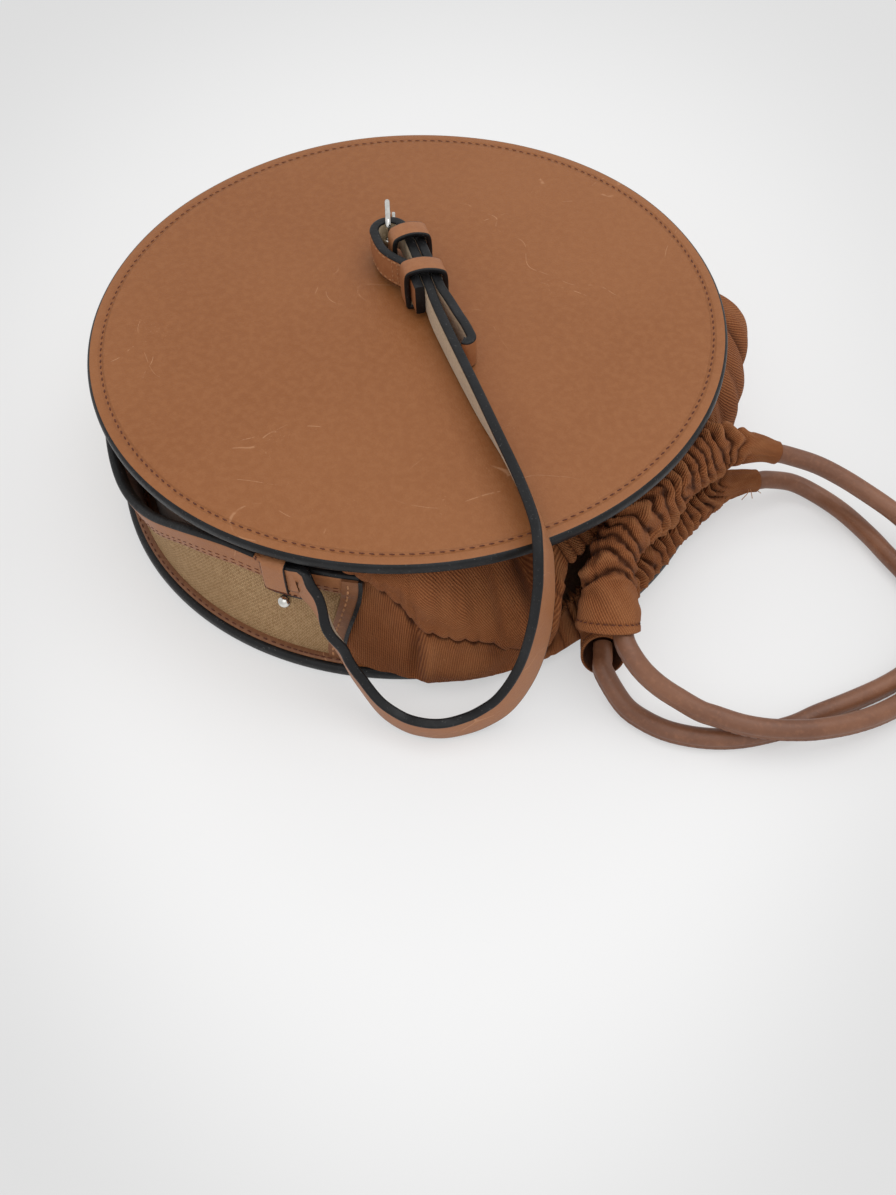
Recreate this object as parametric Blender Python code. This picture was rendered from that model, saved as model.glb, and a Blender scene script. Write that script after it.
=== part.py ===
# Round leather crossbody bag lying on its back panel, with a cloth mouth drawn up
# on two ruched channels, a pair of rolled handles and a buckled shoulder strap.
# Metres, +Z up. The origin is the centre of the back panel's outer face, and +X
# points out of the mouth.
import math

import bmesh
import bpy
from mathutils import Vector

for old in list(bpy.data.objects):
    bpy.data.objects.remove(old, do_unlink=True)

# Driving sizes of the two round panels
disc_radius = 0.121
overall_depth = 0.0669
panel_leather = 0.0018
panel_board = 0.0012
panel_lining = 0.0012
board_inset = 0.0015
panel_edge_round = 0.0005
seat_gap = 0.0003

# The canvas side wall and what is sewn to it
wall_inset = 0.0049
canvas_thickness = 0.0012
wall_lining_thickness = 0.0010
trim_thickness = 0.0012
wall_clear_top = 0.0064
binding_height = 0.0100
end_trim_width = 0.0085
foot_thickness = 0.0010
foot_width = 0.0062
slack_drop = 0.0175
slack_lean = 0.0050
mouth_half_angle = math.radians(58.0)
mouth_side_clearance = math.radians(1.2)
slack_middle = math.radians(-113.0)
slack_half_angle = math.radians(33.0)

# The drum of lining cloth and the cloth mouth
drum_thickness = 0.0010
drum_clearance = 0.0036
cloth_thickness = 0.0012
mouth_flap = 0.0160
near_belly = 0.0065
far_belly = 0.0160
channel_wall = 0.0012
pleat_depth = 0.0010
pleat_count = 17
front_channel_height = 0.0410
back_channel_height = 0.0146
channel_half_width = 0.0092
channel_half_height = 0.0105
back_channel_half_height = 0.0080
hem_half_width = 0.0105
hem_half_height = 0.0070
front_hem_shift = 0.0036
channel_tail_radius = 0.0066
channel_set_back = 0.0060

# The rolled handles
handle_radius = 0.00365
handle_leather = 0.0010
handle_reach = 0.0880
handle_half_spread = 0.0635
handle_middle = 0.0065
front_hinge_reach = 0.0170
front_hinge_height = 0.0295
back_hinge_reach = 0.0110
back_hinge_height = 0.0105

# The strap, its buckle and its keepers
strap_width = 0.0125
strap_leather_thickness = 0.0021
strap_suede_thickness = 0.0012
suede_inset = 0.0004
bar_radius = 0.0010
prong_radius = 0.0007
prong_eye_wall = 0.0008
running_gap = 0.0003
frame_length = 0.0150
frame_swing = math.radians(13.0)
fold_reach = 0.0351
fold_offset = 0.0033
fold_radius = 0.0059
bar_pull = 0.0014
return_length = 0.0373
keeper_thickness = 0.0016
keeper_width = 0.0080
fixed_keeper_reach = 0.0282
fixed_keeper_slack = 0.0033
sliding_keeper_reach = 0.0064
tip_overlap = 0.0310
tip_free_length = 0.0309
tip_swing = 0.0038
prong_slot_height = 0.0036

# The strap's bridge and the ball stud on the wall
bridge_width = 0.0140
bridge_tab = 0.0010
bridge_thickness = 0.0012
bridge_hook = 0.0040
stud_ball_radius = 0.0024
stud_neck_radius = 0.0012
stud_base_radius = 0.0030
stud_base_height = 0.0008
stud_neck_length = 0.0007
stud_screw_head_radius = 0.0030
stud_screw_head_height = 0.0010
stud_angle = math.radians(-71.5)
stud_drop = 0.0098
bridge_angle = math.radians(-71.9)

# Heights and radii that follow
panel_stack = panel_leather + panel_board + panel_lining + 2 * seat_gap
front_floor = overall_depth - panel_stack
back_top = panel_stack
canvas_mid = disc_radius - wall_inset - canvas_thickness / 2
canvas_out = canvas_mid + canvas_thickness / 2
canvas_in = canvas_mid - canvas_thickness / 2
lining_out = canvas_in - seat_gap
lining_in = lining_out - wall_lining_thickness
trim_in = canvas_out + seat_gap
trim_out = trim_in + trim_thickness
foot_low = back_top + seat_gap
wall_low = foot_low + foot_thickness + seat_gap
wall_high = front_floor - wall_clear_top
drum_out = lining_in - drum_clearance
drum_in = drum_out - drum_thickness
strap_thickness = strap_leather_thickness + seat_gap + strap_suede_thickness
strap_on_floor = strap_width / 2 + seat_gap
strap_on_disc = overall_depth + seat_gap + strap_width / 2
buckle_height = overall_depth + 2 * seat_gap + 2 * bar_radius + seat_gap + strap_width / 2
channel_middle = disc_radius - channel_set_back
start_radius = trim_out + 2 * seat_gap + strap_thickness / 2
start_height = front_floor - 2 * seat_gap - bridge_thickness - strap_width / 2

RIM_STEPS = 72
ARC_STEP = math.radians(5.0)
CLOTH_STEP = math.radians(3.0)


# Materials and objects
def finish(name, colour, roughness, metallic=0.0):
    made = bpy.data.materials.get(name) or bpy.data.materials.new(name)
    made.use_nodes = True
    shader = made.node_tree.nodes["Principled BSDF"]
    shader.inputs["Base Color"].default_value = (*colour, 1.0)
    shader.inputs["Roughness"].default_value = roughness
    shader.inputs["Metallic"].default_value = metallic
    return made


def put(name, mesh_data, made_of, smooth_angle=math.radians(35.0)):
    mesh_data.normal_update()
    bmesh.ops.recalc_face_normals(mesh_data, faces=mesh_data.faces[:])
    mesh = bpy.data.meshes.new(name)
    mesh_data.to_mesh(mesh)
    mesh_data.free()
    mesh.shade_smooth()
    mesh.set_sharp_from_angle(angle=smooth_angle)
    piece = bpy.data.objects.new(name, mesh)
    bpy.context.scene.collection.objects.link(piece)
    copy = made_of.copy()
    copy.name = name + "_finish"
    mesh.materials.append(copy)
    return piece


def hang_on(piece, centre):
    # moves the object's origin onto its joint, and leaves the shape where it is
    for corner in piece.data.vertices:
        corner.co -= centre
    piece.location = centre


def combine(piece, tool, operation):
    tool.hide_render = True
    tool.display_type = "WIRE"
    tool.hide_set(True)
    step = piece.modifiers.new(tool.name, "BOOLEAN")
    step.operation = operation
    step.object = tool


# Shapes
def share_between(low, high, share):
    return low + (high - low) * share


def ease(share):
    share = min(max(share, 0.0), 1.0)
    return share * share * (3 - 2 * share)


def polar(radius, angle, height=0.0):
    return Vector((radius * math.cos(angle), radius * math.sin(angle), height))


def skin(mesh_data, rings, looped=False):
    rows = [[mesh_data.verts.new(point) for point in ring] for ring in rings]
    count = len(rows[0])
    pairs = list(zip(rows, rows[1:]))
    if looped:
        pairs.append((rows[-1], rows[0]))
    for low, high in pairs:
        for step in range(count):
            after = (step + 1) % count
            mesh_data.faces.new((low[step], low[after], high[after], high[step]))
    return rows


def loft(rings, looped=False):
    mesh_data = bmesh.new()
    rows = skin(mesh_data, rings, looped)
    if not looped:
        mesh_data.faces.new(rows[0])
        mesh_data.faces.new(rows[-1])
    return mesh_data


def sleeve(outer_rings, inner_rings):
    # an open tube with its own outer and inner skins, joined at both ends
    mesh_data = bmesh.new()
    outer = skin(mesh_data, outer_rings)
    inner = skin(mesh_data, inner_rings)
    for end in (0, -1):
        count = len(outer[end])
        for step in range(count):
            after = (step + 1) % count
            mesh_data.faces.new(
                (outer[end][step], outer[end][after], inner[end][after], inner[end][step])
            )
    return mesh_data


def disc(radius, low, high, edge_round=0.0):
    mesh_data = bmesh.new()
    bmesh.ops.create_cone(
        mesh_data, cap_ends=True, segments=RIM_STEPS, radius1=radius, radius2=radius, depth=high - low
    )
    bmesh.ops.translate(mesh_data, verts=mesh_data.verts, vec=(0, 0, (low + high) / 2))
    if edge_round:
        rims = [edge for edge in mesh_data.edges if abs(edge.verts[0].co.z - edge.verts[1].co.z) < edge_round]
        bmesh.ops.bevel(mesh_data, geom=rims, offset=edge_round, segments=1, profile=0.5, affect="EDGES")
    return mesh_data


def band(start, end, outline, step=ARC_STEP):
    # an outline of (radius, height) points carried round the axis from one angle to another
    count = max(2, math.ceil((end - start) / step))
    rings = []
    for index in range(count + 1):
        angle = start + (end - start) * index / count
        rings.append([polar(radius, angle, height) for radius, height in outline(angle)])
    return loft(rings)


def smooth_path(points, count):
    # points at even steps along a smooth curve through the given ones
    ends = [2 * points[0] - points[1]] + points + [2 * points[-1] - points[-2]]
    fine = []
    for index in range(1, len(ends) - 2):
        before, here, after, beyond = ends[index - 1 : index + 3]
        for part in range(12):
            share = part / 12
            fine.append(
                0.5
                * (
                    2 * here
                    + (after - before) * share
                    + (2 * before - 5 * here + 4 * after - beyond) * share**2
                    + (3 * here - before - 3 * after + beyond) * share**3
                )
            )
    fine.append(points[-1].copy())
    reach = [0.0]
    for one, two in zip(fine, fine[1:]):
        reach.append(reach[-1] + (two - one).length)
    path = []
    place = 0
    for index in range(count):
        wanted = reach[-1] * index / (count - 1)
        while place < len(reach) - 2 and reach[place + 1] < wanted:
            place += 1
        share = (wanted - reach[place]) / (reach[place + 1] - reach[place])
        path.append(fine[place].lerp(fine[place + 1], share))
    return path


def headings(path):
    ways = []
    for index in range(len(path)):
        before = path[max(index - 1, 0)]
        after = path[min(index + 1, len(path) - 1)]
        ways.append((after - before).normalized())
    return ways


def ovals(path, wide, tall, sides, swell=None):
    # rings across a path, half as wide as wide(share) and half as tall as tall(share)
    rings = []
    for index, (point, way) in enumerate(zip(path, headings(path))):
        share = index / (len(path) - 1)
        across = way.cross(Vector((0, 0, 1))).normalized()
        up = across.cross(way)
        more = swell(share) if swell else 0.0
        ring = []
        for step in range(sides):
            turn = 2 * math.pi * step / sides
            ring.append(
                point
                + across * (wide(share) + more) * math.cos(turn)
                + up * (tall(share) + more) * math.sin(turn)
            )
        rings.append(ring)
    return rings


def even(size):
    return lambda share: size


def ribbon(path, low, high, start_side, end_side, leans=None):
    # a flat strip on its edge: it runs from low to high across its width, and from
    # start_side to end_side of the path, counted towards the right of its travel.
    # Its width stands upright, or leans to the right by a share of its height.
    rings = []
    leans = leans or [0.0] * len(path)
    for point, way, lean in zip(path, headings(path), leans):
        level = way.cross(Vector((0, 0, 1))).normalized()
        right = way.cross(Vector((0, 0, 1)) + level * lean).normalized()
        up = right.cross(way)
        rings.append(
            [
                point + right * start_side + up * low,
                point + right * end_side + up * low,
                point + right * end_side + up * high,
                point + right * start_side + up * high,
            ]
        )
    return rings


def turned(profile, sides, centre, way):
    # a profile of (radius, distance along the axis) turned round an axis
    spare = Vector((0, 0, 1)) if abs(way.z) < 0.9 else Vector((1, 0, 0))
    across = way.cross(spare).normalized()
    up = across.cross(way)
    rings = []
    for radius, along in profile:
        rings.append(
            [
                centre
                + way * along
                + across * radius * math.cos(2 * math.pi * step / sides)
                + up * radius * math.sin(2 * math.pi * step / sides)
                for step in range(sides)
            ]
        )
    return loft(rings)


tan_leather = finish("tan_leather", (0.32, 0.135, 0.06), 0.45)
brown_board = finish("board", (0.30, 0.24, 0.17), 0.90)
suede = finish("suede", (0.52, 0.42, 0.31), 0.95)
canvas = finish("canvas", (0.27, 0.165, 0.08), 0.90)
lining_cloth = finish("lining_cloth", (0.50, 0.40, 0.29), 0.95)
twill = finish("twill", (0.17, 0.06, 0.026), 0.92)
handle_leather_finish = finish("handle_leather", (0.17, 0.08, 0.045), 0.50)
cord_core = finish("cord_core", (0.20, 0.10, 0.06), 0.90)
bright_metal = finish("bright_metal", (0.78, 0.77, 0.75), 0.22, 1.0)


# Round panels: leather outside, stiff board, lining inside
def round_panel(side, outer_face, inwards):
    def layer(name, radius, start, thickness, made_of, edge_round=0.0):
        faces = sorted((outer_face + inwards * start, outer_face + inwards * (start + thickness)))
        put(f"{side}_{name}", disc(radius, faces[0], faces[1], edge_round), made_of)

    board_start = panel_leather + seat_gap
    lining_start = board_start + panel_board + seat_gap
    layer("leather", disc_radius, 0.0, panel_leather, tan_leather, panel_edge_round)
    layer("board", disc_radius - board_inset, board_start, panel_board, brown_board)
    layer("lining", disc_radius, lining_start, panel_lining, suede)


round_panel("back", 0.0, 1)
round_panel("front", overall_depth, -1)


# Side wall, slack on one stretch, with its lining, binding, end trims and foot
def slack(angle):
    away = abs(math.remainder(angle - slack_middle, 2 * math.pi)) / slack_half_angle
    return math.cos(away * math.pi / 2) ** 2 if away < 1 else 0.0


def wall_top(angle):
    return wall_high - slack_drop * slack(angle)


def wall_lean(angle, height):
    share = (height - wall_low) / (wall_top(angle) - wall_low)
    return slack_lean * slack(angle) * share**2


def wall_layer(down, up, low, high, level_shares=(0.0, 0.45, 0.8, 1.0)):
    # the outline of one layer of the wall between two heights, which may follow the angle:
    # it climbs at one radius and comes down at the other, and two layers that face each
    # other do so the same way, so that their skins are split alike
    def outline(angle):
        bottom, top = low(angle), high(angle)
        heights = [bottom + (top - bottom) * share for share in level_shares]
        climb = [(up + wall_lean(angle, height), height) for height in heights]
        descent = [(down + wall_lean(angle, height), height) for height in reversed(heights)]
        return climb + descent

    return outline


wall_start = mouth_half_angle
wall_end = 2 * math.pi - mouth_half_angle
side_wall = put(
    "side_wall",
    band(wall_start, wall_end, wall_layer(canvas_in, canvas_out, even(wall_low), wall_top)),
    canvas,
)
wall_lining = put(
    "wall_lining",
    band(wall_start, wall_end, wall_layer(lining_out, lining_in, even(wall_low), wall_top)),
    suede,
)
binding = wall_layer(
    trim_out, trim_in, lambda angle: wall_top(angle) - binding_height, wall_top, (0.0, 0.5, 1.0)
)
put("wall_top_binding", band(wall_start, wall_end, binding), tan_leather)
end_trim_angle = end_trim_width / trim_out
end_trim = wall_layer(
    trim_out, trim_in, even(wall_low), lambda angle: wall_high - binding_height - seat_gap, (0.0, 1.0)
)
put("wall_end_trim_far", band(wall_start, wall_start + end_trim_angle, end_trim), tan_leather)
put("wall_end_trim_near", band(wall_end - end_trim_angle, wall_end, end_trim), tan_leather)
put(
    "wall_foot",
    band(
        wall_start,
        wall_end,
        lambda angle: [
            (lining_in, foot_low),
            (lining_in + foot_width, foot_low),
            (lining_in + foot_width, foot_low + foot_thickness),
            (lining_in, foot_low + foot_thickness),
        ],
    ),
    tan_leather,
)
put(
    "lining_drum",
    band(
        wall_start,
        wall_end,
        lambda angle: [
            (drum_in, back_top + seat_gap),
            (drum_out, back_top + seat_gap),
            (drum_out, front_floor - seat_gap),
            (drum_in, front_floor - seat_gap),
        ],
    ),
    lining_cloth,
)


# Cloth mouth: an upper and a lower panel, which meet along a seam beside the mouth
mouth_side_angle = mouth_half_angle - mouth_side_clearance
slit_angle = math.radians(21.0)
slit_blend_angle = math.radians(6.0)
belly_reach_share = 0.62
belly_low_share = 0.12
belly_high_share = 0.90
seam_flat_share = 0.35


def beside_mouth(angle):
    return ease((abs(angle) - slit_angle) / slit_blend_angle)


def belly(angle):
    size = near_belly if angle < 0 else far_belly
    across_share = (mouth_side_angle - abs(angle)) / (mouth_side_angle - slit_angle)
    return size * math.sin(math.pi * ease(belly_reach_share * across_share))


def cloth_radius(angle, share):
    # share is 0 at the back panel and 1 at the front panel
    slit_radius = (channel_middle - channel_half_width - 2 * seat_gap - cloth_thickness / 2) / math.cos(angle)
    bulge = math.sin(math.pi * share_between(belly_low_share, belly_high_share, share) ** 0.8)
    side = canvas_out + belly(angle) * bulge
    return slit_radius + (side - slit_radius) * beside_mouth(angle)


def seam_height(angle):
    # the seam drops from the wall's end towards the mouth
    share = (abs(angle) - slit_angle) / (mouth_side_angle - slit_angle)
    climb = ease((share - seam_flat_share) / (1 - seam_flat_share))
    return share_between(back_channel_height, wall_high, climb**1.2)


def cloth_outline(edge_height, panel_height, inwards):
    # a sheet from its flap against a panel, over the belly, to its free edge
    def outline(angle):
        free = edge_height(angle)
        flap_height = panel_height + inwards * (seat_gap + cloth_thickness / 2)
        middle = [(cloth_radius(angle, 0.5 + 0.5 * -inwards) - mouth_flap, flap_height)]
        turn = flap_height + inwards * cloth_thickness
        for share in (0.0, 0.3, 0.65, 1.0):
            height = turn + (free - turn) * share
            level = (height - back_top) / (front_floor - back_top)
            middle.append((cloth_radius(angle, level), height))
        out = []
        back = []
        for index, (radius, height) in enumerate(middle):
            before = middle[max(index - 1, 0)]
            after = middle[min(index + 1, len(middle) - 1)]
            run = (after[0] - before[0], after[1] - before[1])
            size = math.hypot(*run)
            off = (-run[1] / size * cloth_thickness / 2, run[0] / size * cloth_thickness / 2)
            out.append((radius + off[0], height + off[1]))
            back.append((radius - off[0], height - off[1]))
        return out + back[::-1]

    return outline


def upper_edge(angle):
    open_edge = front_channel_height - channel_half_height * 0.1
    return open_edge + (seam_height(angle) + seat_gap - open_edge) * beside_mouth(angle)


def lower_edge(angle):
    open_edge = back_channel_height + back_channel_half_height * 0.1
    return open_edge + (seam_height(angle) - seat_gap - open_edge) * beside_mouth(angle)


put(
    "pouch_front_panel",
    band(-mouth_side_angle, mouth_side_angle, cloth_outline(upper_edge, front_floor, -1), CLOTH_STEP),
    twill,
)
put(
    "pouch_back_panel",
    band(-mouth_side_angle, mouth_side_angle, cloth_outline(lower_edge, back_top, 1), CLOTH_STEP),
    twill,
)


# Ruched channels and the lengths of handle that lie inside them
# Route of a channel on each side of the middle: (share of the way in from the
# hinge, share of the way across to the handle's end, share of the droop)
near_route_shares = ((0.0, 1.0, 1.0), (0.45, 0.80, 0.60), (0.88, 0.62, 0.22), (1.0, 0.30, 0.0))
far_route_shares = ((1.0, 0.0, 0.0), (1.0, 0.33, 0.0), (0.88, 0.62, 0.12), (0.45, 0.84, 0.5), (0.0, 1.0, 1.0))


def channel_route(height, hinge_x, hinge_z, near_y, far_y):
    points = []
    for route_shares, side_y in ((near_route_shares, near_y), (far_route_shares, far_y)):
        for in_share, across_share, droop_share in route_shares:
            x = share_between(hinge_x, channel_middle, in_share)
            z = share_between(height, hinge_z, droop_share)
            points.append(Vector((x, side_y * across_share, z)))
    return points


def shorten(points, cut_back):
    # draws both ends of a route back along its own end runs
    for end, inner in ((0, 1), (-1, -2)):
        way = (points[inner] - points[end]).normalized()
        points[end] = points[end] + way * cut_back
    return points


def channel(side, route, half_height, hem_shift):
    # the near hem hangs to one side of the handle that it carries
    for index, shift_share in enumerate(hem_shift_shares):
        route[index] = route[index] - Vector((1, 1, 0)) * hem_shift * shift_share
    pleats = pleat_count * 3
    outer_path = smooth_path(route, pleats + 1)
    inner_path = smooth_path(route, 17)

    def wide(share):
        near = share_between(hem_half_width, channel_half_width, ease(share / 0.2))
        return share_between(near, channel_tail_radius, ease((share - 0.78) / 0.2))

    def tall(share):
        near = share_between(hem_half_height, half_height, ease(share / 0.2))
        return share_between(near, channel_tail_radius, ease((share - 0.78) / 0.2))

    def pleat(share):
        return -pleat_depth / 2 * (1 - math.cos(2 * math.pi * pleat_count * share)) * ease(share / 0.08)

    def bore(size):
        # thicker by the pleats' depth, but for the plain ends
        return lambda share: size(share) - channel_wall - (pleat_depth if 0.0 < share < 1.0 else 0.0)

    outer = ovals(outer_path, wide, tall, 10, pleat)
    inner = ovals(inner_path, bore(wide), bore(tall), 10)
    put(f"channel_{side}", sleeve(outer, inner), twill)


hem_shift_shares = (1.0, 0.6)


def handle_inner(side, route):
    path = smooth_path(route, 17)
    rings = ovals(path, even(handle_radius), even(handle_radius), 8)
    put(f"handle_{side}_inner", loft(rings), handle_leather_finish)


# Handle loops: (share of the reach, share of the half spread, share of the drop
# from the hinge, share of one handle's thickness above the floor)
front_loop_shares = (
    (0.000, -0.893, 1.00, 0.00),
    (0.060, -0.927, 0.90, 0.00),
    (0.125, -0.934, 0.72, 0.12),
    (0.198, -0.923, 0.55, 0.25),
    (0.275, -0.900, 0.40, 0.40),
    (0.358, -0.874, 0.25, 0.60),
    (0.417, -0.838, 0.15, 0.76),
    (0.512, -0.787, 0.04, 0.98),
    (0.600, -0.722, 0.00, 1.05),
    (0.680, -0.642, 0.00, 1.02),
    (0.753, -0.549, 0.00, 0.95),
    (0.842, -0.385, 0.00, 0.73),
    (0.918, -0.181, 0.00, 0.47),
    (0.981, 0.080, 0.00, 0.30),
    (1.000, 0.300, 0.00, 0.22),
    (0.974, 0.520, 0.00, 0.25),
    (0.895, 0.730, 0.00, 0.35),
    (0.780, 0.880, 0.08, 0.40),
    (0.635, 0.980, 0.22, 0.40),
    (0.490, 1.017, 0.38, 0.30),
    (0.311, 1.007, 0.55, 0.26),
    (0.191, 0.973, 0.72, 0.15),
    (0.099, 0.925, 0.88, 0.00),
    (0.000, 0.845, 1.00, 0.00),
)
back_loop_shares = (
    (0.000, -0.932, 1.00, 0.00),
    (0.088, -0.981, 0.42, 0.00),
    (0.166, -1.007, 0.05, 0.00),
    (0.249, -1.010, 0.00, 0.00),
    (0.332, -0.994, 0.00, 0.00),
    (0.408, -0.956, 0.00, 0.00),
    (0.484, -0.899, 0.00, 0.00),
    (0.559, -0.821, 0.00, 0.00),
    (0.632, -0.714, 0.00, 0.00),
    (0.723, -0.539, 0.00, 0.00),
    (0.776, -0.390, 0.00, 0.00),
    (0.852, -0.196, 0.00, 0.00),
    (0.924, 0.012, 0.00, 0.00),
    (0.963, 0.190, 0.00, 0.00),
    (0.961, 0.370, 0.00, 0.00),
    (0.918, 0.550, 0.00, 0.00),
    (0.840, 0.690, 0.00, 0.00),
    (0.755, 0.775, 0.00, 0.00),
    (0.602, 0.868, 0.00, 0.00),
    (0.495, 0.933, 0.00, 0.00),
    (0.342, 1.003, 0.00, 0.00),
    (0.201, 1.034, 0.00, 0.00),
    (0.081, 0.993, 0.40, 0.00),
    (0.000, 0.870, 1.00, 0.00),
)


def handle_loop(side, loop_shares, hinge_x, hinge_z):
    floor_level = handle_radius + seat_gap
    points = []
    for reach_share, spread_share, drop_share, stack_share in loop_shares:
        points.append(
            Vector(
                (
                    hinge_x + handle_reach * reach_share,
                    handle_middle + handle_half_spread * spread_share,
                    share_between(floor_level, hinge_z, drop_share)
                    + stack_share * (2 * handle_radius + seat_gap),
                )
            )
        )
    path = smooth_path(points, 31)
    bore = handle_radius - handle_leather
    outer = ovals(path, even(handle_radius), even(handle_radius), 8)
    inner = ovals(path, even(bore), even(bore), 8)
    cover_piece = put(f"handle_{side}_cover", sleeve(outer, inner), handle_leather_finish)
    ways = headings(path)
    core_radius = bore - seat_gap
    rings = ovals(path, even(core_radius), even(core_radius), 8)
    knob_shares = ((0.12, 0.99), (0.55, 0.83), (0.87, 0.49), (0.99, 0.12))
    for end, way in ((0, -ways[0]), (-1, ways[-1])):
        centre = points[end]
        knob = []
        for along_share, radius_share in knob_shares:
            grow = radius_share * handle_radius / core_radius
            moved = way * handle_radius * along_share
            knob.append([centre + (corner - path[end]) * grow + moved for corner in rings[end]])
        neck = [corner + way * handle_radius * knob_shares[0][0] for corner in rings[end]]
        rings = [*knob[::-1], neck, *rings] if end == 0 else [*rings, neck, *knob]
    core_piece = put(f"handle_{side}_core", loft(rings), cord_core)
    hinge = Vector((hinge_x, 0.0, hinge_z))
    hang_on(cover_piece, hinge)
    hang_on(core_piece, hinge)
    return points[0], points[-1]


front_hinge_x = disc_radius + front_hinge_reach
back_hinge_x = disc_radius + back_hinge_reach
front_lift = (front_hinge_height, front_channel_height, channel_half_height, front_hem_shift)
back_lift = (back_hinge_height, back_channel_height, back_channel_half_height, 0.0)
for side, loop_shares, hinge_x, (hinge_z, height, half_height, hem_shift) in (
    ("front", front_loop_shares, front_hinge_x, front_lift),
    ("back", back_loop_shares, back_hinge_x, back_lift),
):
    near_end, far_end = handle_loop(side, loop_shares, hinge_x, hinge_z)
    route = channel_route(height, hinge_x, hinge_z, near_end.y, far_end.y)
    handle_inner(side, shorten(list(route), handle_radius + 2 * seat_gap))
    channel(side, shorten(list(route), handle_radius + 5 * seat_gap), half_height, hem_shift)


# Buckle end of the strap, which lies on its edge across the front panel. Places
# here are (distance along the strap's end, distance to its right).
strap_azimuth = math.radians(145.0)
along = polar(1.0, strap_azimuth)
rightwards = polar(1.0, strap_azimuth - math.pi / 2)


def on_disc(reach, offset, height):
    return along * reach + rightwards * offset + Vector((0, 0, height))


eye_radius = bar_radius + running_gap + prong_eye_wall
main_offset = fold_offset + fold_radius
wide_offset = fold_offset - fold_radius
seated_offset = main_offset - strap_thickness - seat_gap
tip_offset = main_offset + strap_thickness + seat_gap

# Strap route: (share of the disc radius, share of the disc radius, share of the
# climb, lean of its width to the right)
floor_loop_shares = (
    (0.412, -0.922, 0.664, 0.00),
    (0.443, -0.926, 0.585, 0.12),
    (0.480, -0.932, 0.465, 0.26),
    (0.515, -0.925, 0.310, 0.22),
    (0.576, -0.930, 0.171, 0.19),
    (0.658, -0.935, 0.057, 0.20),
    (0.729, -0.924, 0.007, 0.22),
    (0.787, -0.905, 0.007, 0.25),
    (0.833, -0.874, 0.005, 0.23),
    (0.870, -0.833, 0.010, 0.18),
    (0.906, -0.784, 0.035, 0.12),
    (0.941, -0.728, 0.107, 0.07),
    (0.964, -0.674, 0.253, 0.04),
    (0.973, -0.630, 0.436, -0.01),
    (0.968, -0.593, 0.649, -0.08),
    (0.948, -0.558, 0.848, -0.18),
    (0.913, -0.521, 0.984, -0.32),
    (0.864, -0.477, 1.019, -0.32),
    (0.753, -0.392, 1.007, -0.29),
    (0.617, -0.302, 1.008, -0.27),
    (0.427, -0.185, 1.002, -0.08),
)
bridge_stretch_shares = (-1.0, 0.0, 0.8, 1.2)


def strap_route():
    # the places carry the lean as a fourth value, so that it varies as smoothly as they do
    points = []
    start_span = bridge_width / 2 + 3 * seat_gap
    for share in bridge_stretch_shares:
        place = polar(start_radius, bridge_angle + share * start_span / start_radius, start_height)
        points.append(Vector((*place, 0.0)))
    for x_share, y_share, climb_share, lean_share in floor_loop_shares:
        height = share_between(strap_on_floor, strap_on_disc, climb_share)
        lean = lean_share * strap_width
        points.append(Vector((disc_radius * x_share, disc_radius * y_share, height, lean)))
    lift = strap_on_disc + (buckle_height - strap_on_disc) * 0.5
    for place in (
        on_disc(-fold_reach * 0.44, main_offset, lift),
        on_disc(0.0, main_offset, buckle_height),
        on_disc(fold_reach * 0.5, main_offset, buckle_height),
        on_disc(fold_reach * 0.9, main_offset, buckle_height),
    ):
        points.append(Vector((*place, 0.0)))
    return smooth_path(points, 66)


def fold_arc(count):
    points = []
    for index in range(count + 1):
        turn = math.pi * index / count
        points.append(
            on_disc(
                fold_reach + fold_radius * math.sin(turn),
                fold_offset + fold_radius * math.cos(turn),
                buckle_height,
            )
        )
    return points


# The layer that comes back from the fold: (share of its length, share of the way in
# from the width of the fold to its seat against the strap)
return_shares = (
    (0.16, 0.00),
    (0.30, 0.10),
    (0.42, 0.36),
    (0.525, 0.70),
    (0.605, 0.93),
    (0.66, 1.00),
    (0.86, 1.00),
    (1.00, 1.00),
)


def strap_return():
    points = [on_disc(fold_reach, wide_offset, buckle_height)]
    for reach_share, seat_share in return_shares:
        offset = share_between(wide_offset, seated_offset, seat_share)
        points.append(on_disc(fold_reach - return_length * reach_share, offset, buckle_height))
    return smooth_path(points, 14)[1:]


leaning_route = strap_route()[:-1]
strap_path = [point.to_3d() for point in leaning_route] + fold_arc(8) + strap_return()
strap_leans = [point.w / strap_width for point in leaning_route]
strap_leans += [0.0] * (len(strap_path) - len(strap_leans))
half_strap = strap_thickness / 2
strap_half_width = strap_width / 2
leather_side = (half_strap - strap_leather_thickness, half_strap)
suede_side = (-half_strap + strap_suede_thickness, -half_strap)
leather_rings = ribbon(strap_path, -strap_half_width, strap_half_width, *leather_side, strap_leans)
strap_leather = put("strap_leather", loft(leather_rings), tan_leather)
suede_half = strap_half_width - suede_inset
suede_rings = ribbon(strap_path, -suede_half, suede_half, *suede_side, strap_leans)
strap_suede = put("strap_suede", loft(suede_rings), suede)

slot_box = bmesh.new()
bmesh.ops.create_cube(slot_box, size=1.0)
slot_start = -fold_radius * 0.4
slot_end = fold_radius + strap_thickness
slot_left = -prong_radius - 2 * seat_gap
for corner in slot_box.verts:
    corner.co = on_disc(
        fold_reach + share_between(slot_start, slot_end, corner.co.x + 0.5),
        fold_offset + share_between(slot_left, slot_end, corner.co.y + 0.5),
        buckle_height + prong_slot_height * corner.co.z,
    )
slot_cutter = put("prong_slot_cutter", slot_box, bright_metal)
combine(strap_leather, slot_cutter, "DIFFERENCE")
combine(strap_suede, slot_cutter, "DIFFERENCE")

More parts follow.
